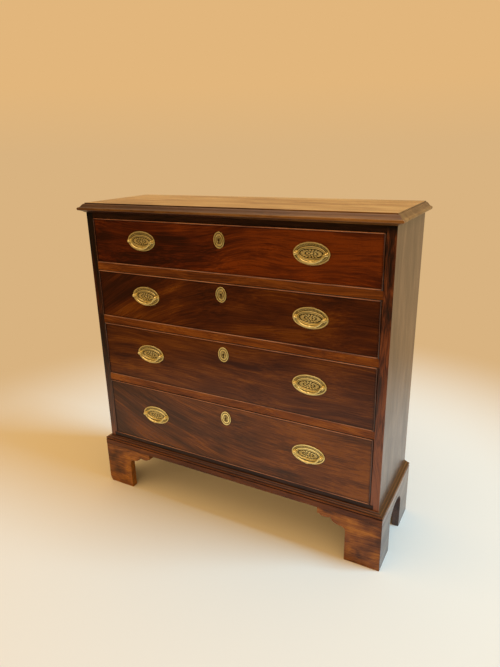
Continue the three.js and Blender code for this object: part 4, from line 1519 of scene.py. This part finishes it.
@dataclass
class Escutcheon:
    """Oval keyhole plate: beaded rim, inner ring and raised field, placed as shares of its radius."""

    finishes: Finishes
    drawer: int
    half_width: float = 16.5
    half_height: float = 21.5
    sheet: float = 0.8
    sunk: float = 0.1
    key_radius: float = 3.0
    slot_half: float = 1.6
    slot_length: float = 9.5
    rim: Band = Band(0.91, 0.09, 1.0)
    beads: int = 34
    ring: Band = Band(0.62, 0.12, 0.9)
    field_share: float = 0.47
    field_height: float = 0.47
    tarnish_depth: float = 0.8
    tarnish: float = 0.9

    def relief(self, share: np.ndarray, turn: np.ndarray) -> np.ndarray:
        """Gives the height over the drawer front.

        Args:
            share: Share of the way from the middle to the edge.
            turn: Angle round the oval, in radians.

        Returns:
            Height in millimetres.
        """
        height = self.sheet + self.rim.lift(share) * beading(turn, self.beads) + self.ring.lift(share)
        return height + self.field_height * (share < self.field_share)

    def plate(self) -> Piece:
        """Builds the plate as a grid from the keyhole to the oval, lifted by the relief and closed behind.

        The keyhole's radius is the larger of its round and of the ray that leaves its slot, whose cosine and
        sine are kept off zero.

        Returns:
            The new object.
        """
        low, high = node_box(f"drawer_{self.drawer}_escutcheon")
        centre = (low + high) / 2
        face = high[1] + self.sunk
        turn = np.linspace(0, 2 * np.pi, 240, endpoint=False)
        cosine, sine = np.abs(np.cos(turn)) + TINY, np.abs(np.sin(turn)) + TINY
        ray = np.minimum(self.slot_half / cosine, self.slot_length / sine)
        hole = np.where(np.sin(turn) < 0, np.maximum(self.key_radius, ray), self.key_radius)
        oval = 1 / np.hypot(np.cos(turn) / self.half_width, np.sin(turn) / self.half_height)
        radius = hole + (oval - hole) * np.linspace(0, 1, 48)[:, None]
        x, z = radius * np.cos(turn), radius * np.sin(turn)
        across, up = x / self.half_width, z / self.half_height
        height = self.relief(np.hypot(across, up), np.arctan2(up, across))
        recess = self.tarnish * np.clip(1 - (height - self.sheet) / self.tarnish_depth, 0, 1)
        front = np.stack([centre[0] + x, face - height, centre[2] + z], axis=-1)
        back = front[[-1, 0]].copy()
        back[..., 1] = face - self.sunk
        depth = np.concatenate([recess, recess[[-1, 0]]])
        skin = Skin().grid(np.concatenate([front, back]), ring=True, recess=depth)
        return skin.build(f"drawer_{self.drawer}_key_plate", crease=60)

    def make(self) -> None:
        """Builds and dresses the plate."""
        body = f"drawer_{self.drawer}"
        dress(self.plate(), self.finishes.brass, body, "brass", f"{body}_escutcheon")


@dataclass
class Drawer:
    """One drawer: its boards and lock, with the cock bead, the handles and the escutcheon made finer."""

    finishes: Finishes
    number: int
    bead_proud: ClassVar[float] = 1.8
    bead_radius: float = 1.7
    bead_width: float = 3.0
    bead_rise: float = 0.3
    bead_sunk: float = 1.0
    bead_dirt: float = 2.2

    def bead(self) -> Piece:
        """Builds the cock bead as a half round carried round the drawer front, mitred at the corners.

        Returns:
            The new object.
        """
        low, high = node_box(f"drawer_{self.number}_front")
        radius, sunk = self.bead_radius, -self.bead_sunk
        section = arc((0, self.bead_rise), (radius, radius), 0, 180, 12)
        section = np.concatenate([section, [[-radius, sunk], [radius, sunk]]])
        out, forward = section[:, :1], section[:, 1:]
        middle = ((low + high) / 2)[[0, 2]]
        half = ((high - low - self.bead_width) / 2)[[0, 2]]
        signs = np.array([[1, 1], [-1, 1], [-1, -1], [1, -1]])
        corners = middle + signs * (half + out[..., None])
        y = np.broadcast_to(low[1] + self.bead_proud - forward, corners.shape[:2])
        # Pale crest and darkened flanks: partly wear and dirt, partly painted highlight and shade.
        crest = np.clip((forward - self.bead_rise) / radius, 0, 1)
        dirt_and_shade = np.broadcast_to(np.clip(self.bead_dirt * (1 - crest), 0, 1), y.shape)
        skin = Skin().grid(np.stack([corners[..., 0], y, corners[..., 1]], axis=-1), ring=True, recess=dirt_and_shade)
        return skin.build(f"drawer_{self.number}_cock_bead", crease=50)

    def make(self) -> None:
        """Dresses the drawer's nodes and builds its finer pieces."""
        name, finishes = f"drawer_{self.number}", self.finishes
        keep(f"{name}_front", finishes.fronts[self.number - 1], 0.0)
        for hand in Hand:
            keep(f"{name}_side_{hand.word}", finishes.oak_deep, 0.0)
            Handle(finishes, self.number, hand).make()
        for part in ("back", "bottom"):
            keep(f"{name}_{part}", finishes.oak_across, 0.0)
        keep(f"{name}_lock_case", finishes.iron, 0.2)
        keep(f"{name}_lock_bolt", finishes.iron, 0.3)
        Escutcheon(finishes, self.number).make()
        dress(self.bead(), finishes.bead, name, "case_mahogany")


@dataclass
class Case:
    """Sides, back and rails of the case, whose nodes keep their shape."""

    finishes: Finishes
    rails: int = 3

    def make(self) -> None:
        """Dresses the nodes."""
        for hand in Hand:
            keep(f"case_side_{hand.word}", self.finishes.side)
        keep("case_back", self.finishes.pine)
        for number in range(1, self.rails + 1):
            keep(f"rail_{number}", self.finishes.rail)


# Studio


@dataclass
class Studio:
    """Pale floor, one soft lamp, world and the camera of the photograph. Places are metres."""

    floor_near: str = "#e6e9ec"
    floor_rings: tuple[float, ...] = (0.0, 1.0, 2.0, 4.0, 8.0, 30.0)
    fade: Pair = (0.75, 1.7)
    wall_low: str = "#d9b380"
    wall_high: str = "#e2b67c"
    ceiling: str = "#ffdcbc"
    wall_stops: tuple[float, ...] = (0.0, 0.1, 0.7, 0.9)
    ceiling_glow: float = 3.4
    ceiling_rise: Pair = (0.72, 0.9)
    unlit: str = "#1a0f06"
    unlit_floor: Pair = (-0.35, -1.1)
    unlit_ahead: Pair = (-0.1, -0.5)
    unlit_level: Pair = (0.7, 0.35)
    ambient: str = "#ffc87d"
    ambient_strength: Pair = (0.34, 1.48)
    ambient_from: Triple = (-0.5, -0.86, 0.1)
    lamp_place: Triple = (4.2, 0.8, 5.4)
    lamp_size: float = 2.2
    lamp_power: float = 370.0
    lamp_colour: str = "#aae6ff"
    azimuth: float = 29.49
    elevation: float = 19.02
    roll: float = -1.48
    eye: Triple = (0.7291, -1.2996, 1.0618)
    focal_pixels: float = 539.8
    centre_pixels: Pair = (244.35, 334.41)
    image_pixels: tuple[int, int] = (500, 667)
    sensor_mm: float = 36.0

    def floor(self) -> None:
        """Builds a round floor that turns to the wall's colour near the chest, so that no horizon shows."""
        turn = np.linspace(0, 2 * np.pi, 96, endpoint=False)
        radius = np.array(self.floor_rings)[:, None] / MM
        x, y = radius * np.cos(turn), radius * np.sin(turn)
        made = Skin().grid(np.stack([x, y, np.zeros_like(x)], axis=-1), caps=False).build("floor")
        # Floor painted a cool white: matt under the lamp, and further off as even and warm as the wall.
        material = bpy.data.materials.new("floor_painted")
        tree = new_tree(material)
        place = add_node(tree, "TexCoord", out="Object")
        away = add_node(tree, "VectorMath", {0: place}, "Value", operation="LENGTH")
        paint = add_node(tree, "BsdfDiffuse", {"Color": linear(self.floor_near)})
        ahead = add_node(tree, "SeparateXYZ", {0: place}, "Y")
        near, far = self.unlit_floor
        front = add_node(tree, "MapRange", {"Value": ahead, "From Min": near, "From Max": far}, **SMOOTH)
        wall = self.shaded(tree, linear(self.wall_low), front)
        glow = add_node(tree, "Emission", {"Color": wall, "Strength": 1.0})
        near, far = self.fade
        fade = add_node(tree, "MapRange", {"Value": away, "From Min": near, "From Max": far}, **SMOOTH)
        mixed = add_node(tree, "MixShader", {0: fade, 1: paint, 2: glow})
        add_node(tree, "OutputMaterial", {"Surface": mixed})
        made.data.materials.append(material)
        made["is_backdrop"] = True

    def shaded(self, tree: Tree, colour: Socket | tuple[float, ...], front: Socket) -> Socket:
        """Turns a colour to that of the unlit room in reflections of what lies in front of the chest.

        Args:
            tree: Tree of the floor or the world.
            colour: Colour of the lit room, as a value or a socket.
            front: How far a place or way lies in front, from 0 to 1.

        Returns:
            Colour socket.
        """
        glossy = add_node(tree, "LightPath", out="Is Glossy Ray")
        share = add_node(tree, "Math", {0: glossy, 1: front}, operation="MULTIPLY")
        return add_node(tree, "Mix", {"Factor": share, 6: colour, 7: linear(self.unlit)}, 2, **RGBA)

    def world(self) -> None:
        """Builds the warm wall, golden light mostly from the front left, and a ceiling for reflections."""
        made = bpy.data.worlds.new("studio")
        bpy.context.scene.world = made
        tree = new_tree(made)
        path = add_node(tree, "LightPath").node.outputs
        whole = add_node(tree, "TexCoord", out="Generated")
        _, y, z = add_node(tree, "SeparateXYZ", {0: whole}).node.outputs
        shades = (self.wall_low, self.wall_high, self.wall_high, self.ceiling)
        wall = coloured(tree, z, self.wall_stops, shades)
        near, far = self.unlit_ahead
        ahead = add_node(tree, "MapRange", {"Value": y, "From Min": near, "From Max": far}, **SMOOTH)
        high, low = self.unlit_level
        level = add_node(tree, "MapRange", {"Value": z, "From Min": high, "From Max": low}, **SMOOTH)
        front = add_node(tree, "Math", {0: ahead, 1: level}, operation="MULTIPLY")
        low, high = self.ceiling_rise
        inputs = {"Value": z, "From Min": low, "From Max": high, "To Max": self.ceiling_glow - 1}
        above = add_node(tree, "MapRange", inputs, **SMOOTH)
        inputs = {0: above, 1: path["Is Glossy Ray"], 2: 1.0}
        strength = add_node(tree, "Math", inputs, operation="MULTIPLY_ADD")
        inputs = {"Color": self.shaded(tree, wall, front), "Strength": strength}
        seen = add_node(tree, "Background", inputs)
        low, high = self.ambient_strength
        inputs = {0: whole, 1: self.ambient_from}
        side = add_node(tree, "VectorMath", inputs, "Value", operation="DOT_PRODUCT")
        inputs = {"Value": side, "From Min": -1.0, "To Min": low, "To Max": high}
        strength = add_node(tree, "MapRange", inputs)
        lit = add_node(tree, "Background", {"Color": linear(self.ambient), "Strength": strength})
        direct = path["Is Camera Ray"]
        for kind in ("Is Glossy Ray", "Is Transmission Ray"):
            direct = add_node(tree, "Math", {0: direct, 1: path[kind]}, operation="MAXIMUM")
        mixed = add_node(tree, "MixShader", {0: direct, 1: lit, 2: seen})
        add_node(tree, "OutputWorld", {"Surface": mixed})

    def lamp(self) -> None:
        """Builds a square area lamp, aimed at the middle of the chest."""
        low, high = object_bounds()
        data = bpy.data.lights.new("key", "AREA")
        data.size = self.lamp_size
        data.energy = self.lamp_power
        data.color = linear(self.lamp_colour)[:3]
        made = bpy.data.objects.new("key", data)
        made.location = self.lamp_place
        aim = (low + high) / 2 - Vector(self.lamp_place)
        made.rotation_euler = aim.to_track_quat("-Z", "Y").to_euler()
        bpy.context.scene.collection.objects.link(made)

    def camera(self) -> None:
        """Builds the camera, turned by azimuth, elevation and roll, with the photograph's focal length."""
        around, above, roll = (math.radians(v) for v in (self.azimuth, self.elevation, self.roll))
        level = math.cos(above)
        back = Vector((math.sin(around) * level, -math.cos(around) * level, math.sin(above)))
        right = (-back).cross(Vector((0, 0, 1))).normalized()
        up = right.cross(-back)
        tilted = math.cos(roll) * right + math.sin(roll) * up
        upward = -math.sin(roll) * right + math.cos(roll) * up
        data = bpy.data.cameras.new("camera")
        made = bpy.data.objects.new("camera", data)
        turn = Matrix((tilted, upward, back)).transposed().to_4x4()
        made.matrix_world = Matrix.Translation(self.eye) @ turn
        width, height = self.image_pixels
        long_side = max(width, height)
        data.sensor_width = self.sensor_mm
        data.lens = self.sensor_mm * self.focal_pixels / long_side
        data.shift_x = (width / 2 - self.centre_pixels[0]) / long_side
        data.shift_y = (self.centre_pixels[1] - height / 2) / long_side
        bpy.context.scene.collection.objects.link(made)
        bpy.context.scene.camera = made

    def make(self) -> None:
        """Builds the studio and sets the plain view."""
        self.camera()
        self.floor()
        self.world()
        self.lamp()
        bpy.context.scene.view_settings.view_transform = "Standard"


def main() -> None:
    """Builds the studio, then the chest's pieces in order."""
    logging.basicConfig(level=logging.INFO, format="%(message)s")
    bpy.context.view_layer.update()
    finishes = Finishes()
    Studio().make()
    Case(finishes).make()
    Top(finishes).make()
    Plinth(finishes).make()
    for hand in Hand:
        for back in (False, True):
            Foot(finishes, hand, back).make()
    for number in (1, 2, 3, 4):
        Drawer(finishes, number).make()


if __name__ == "__main__":
    main()
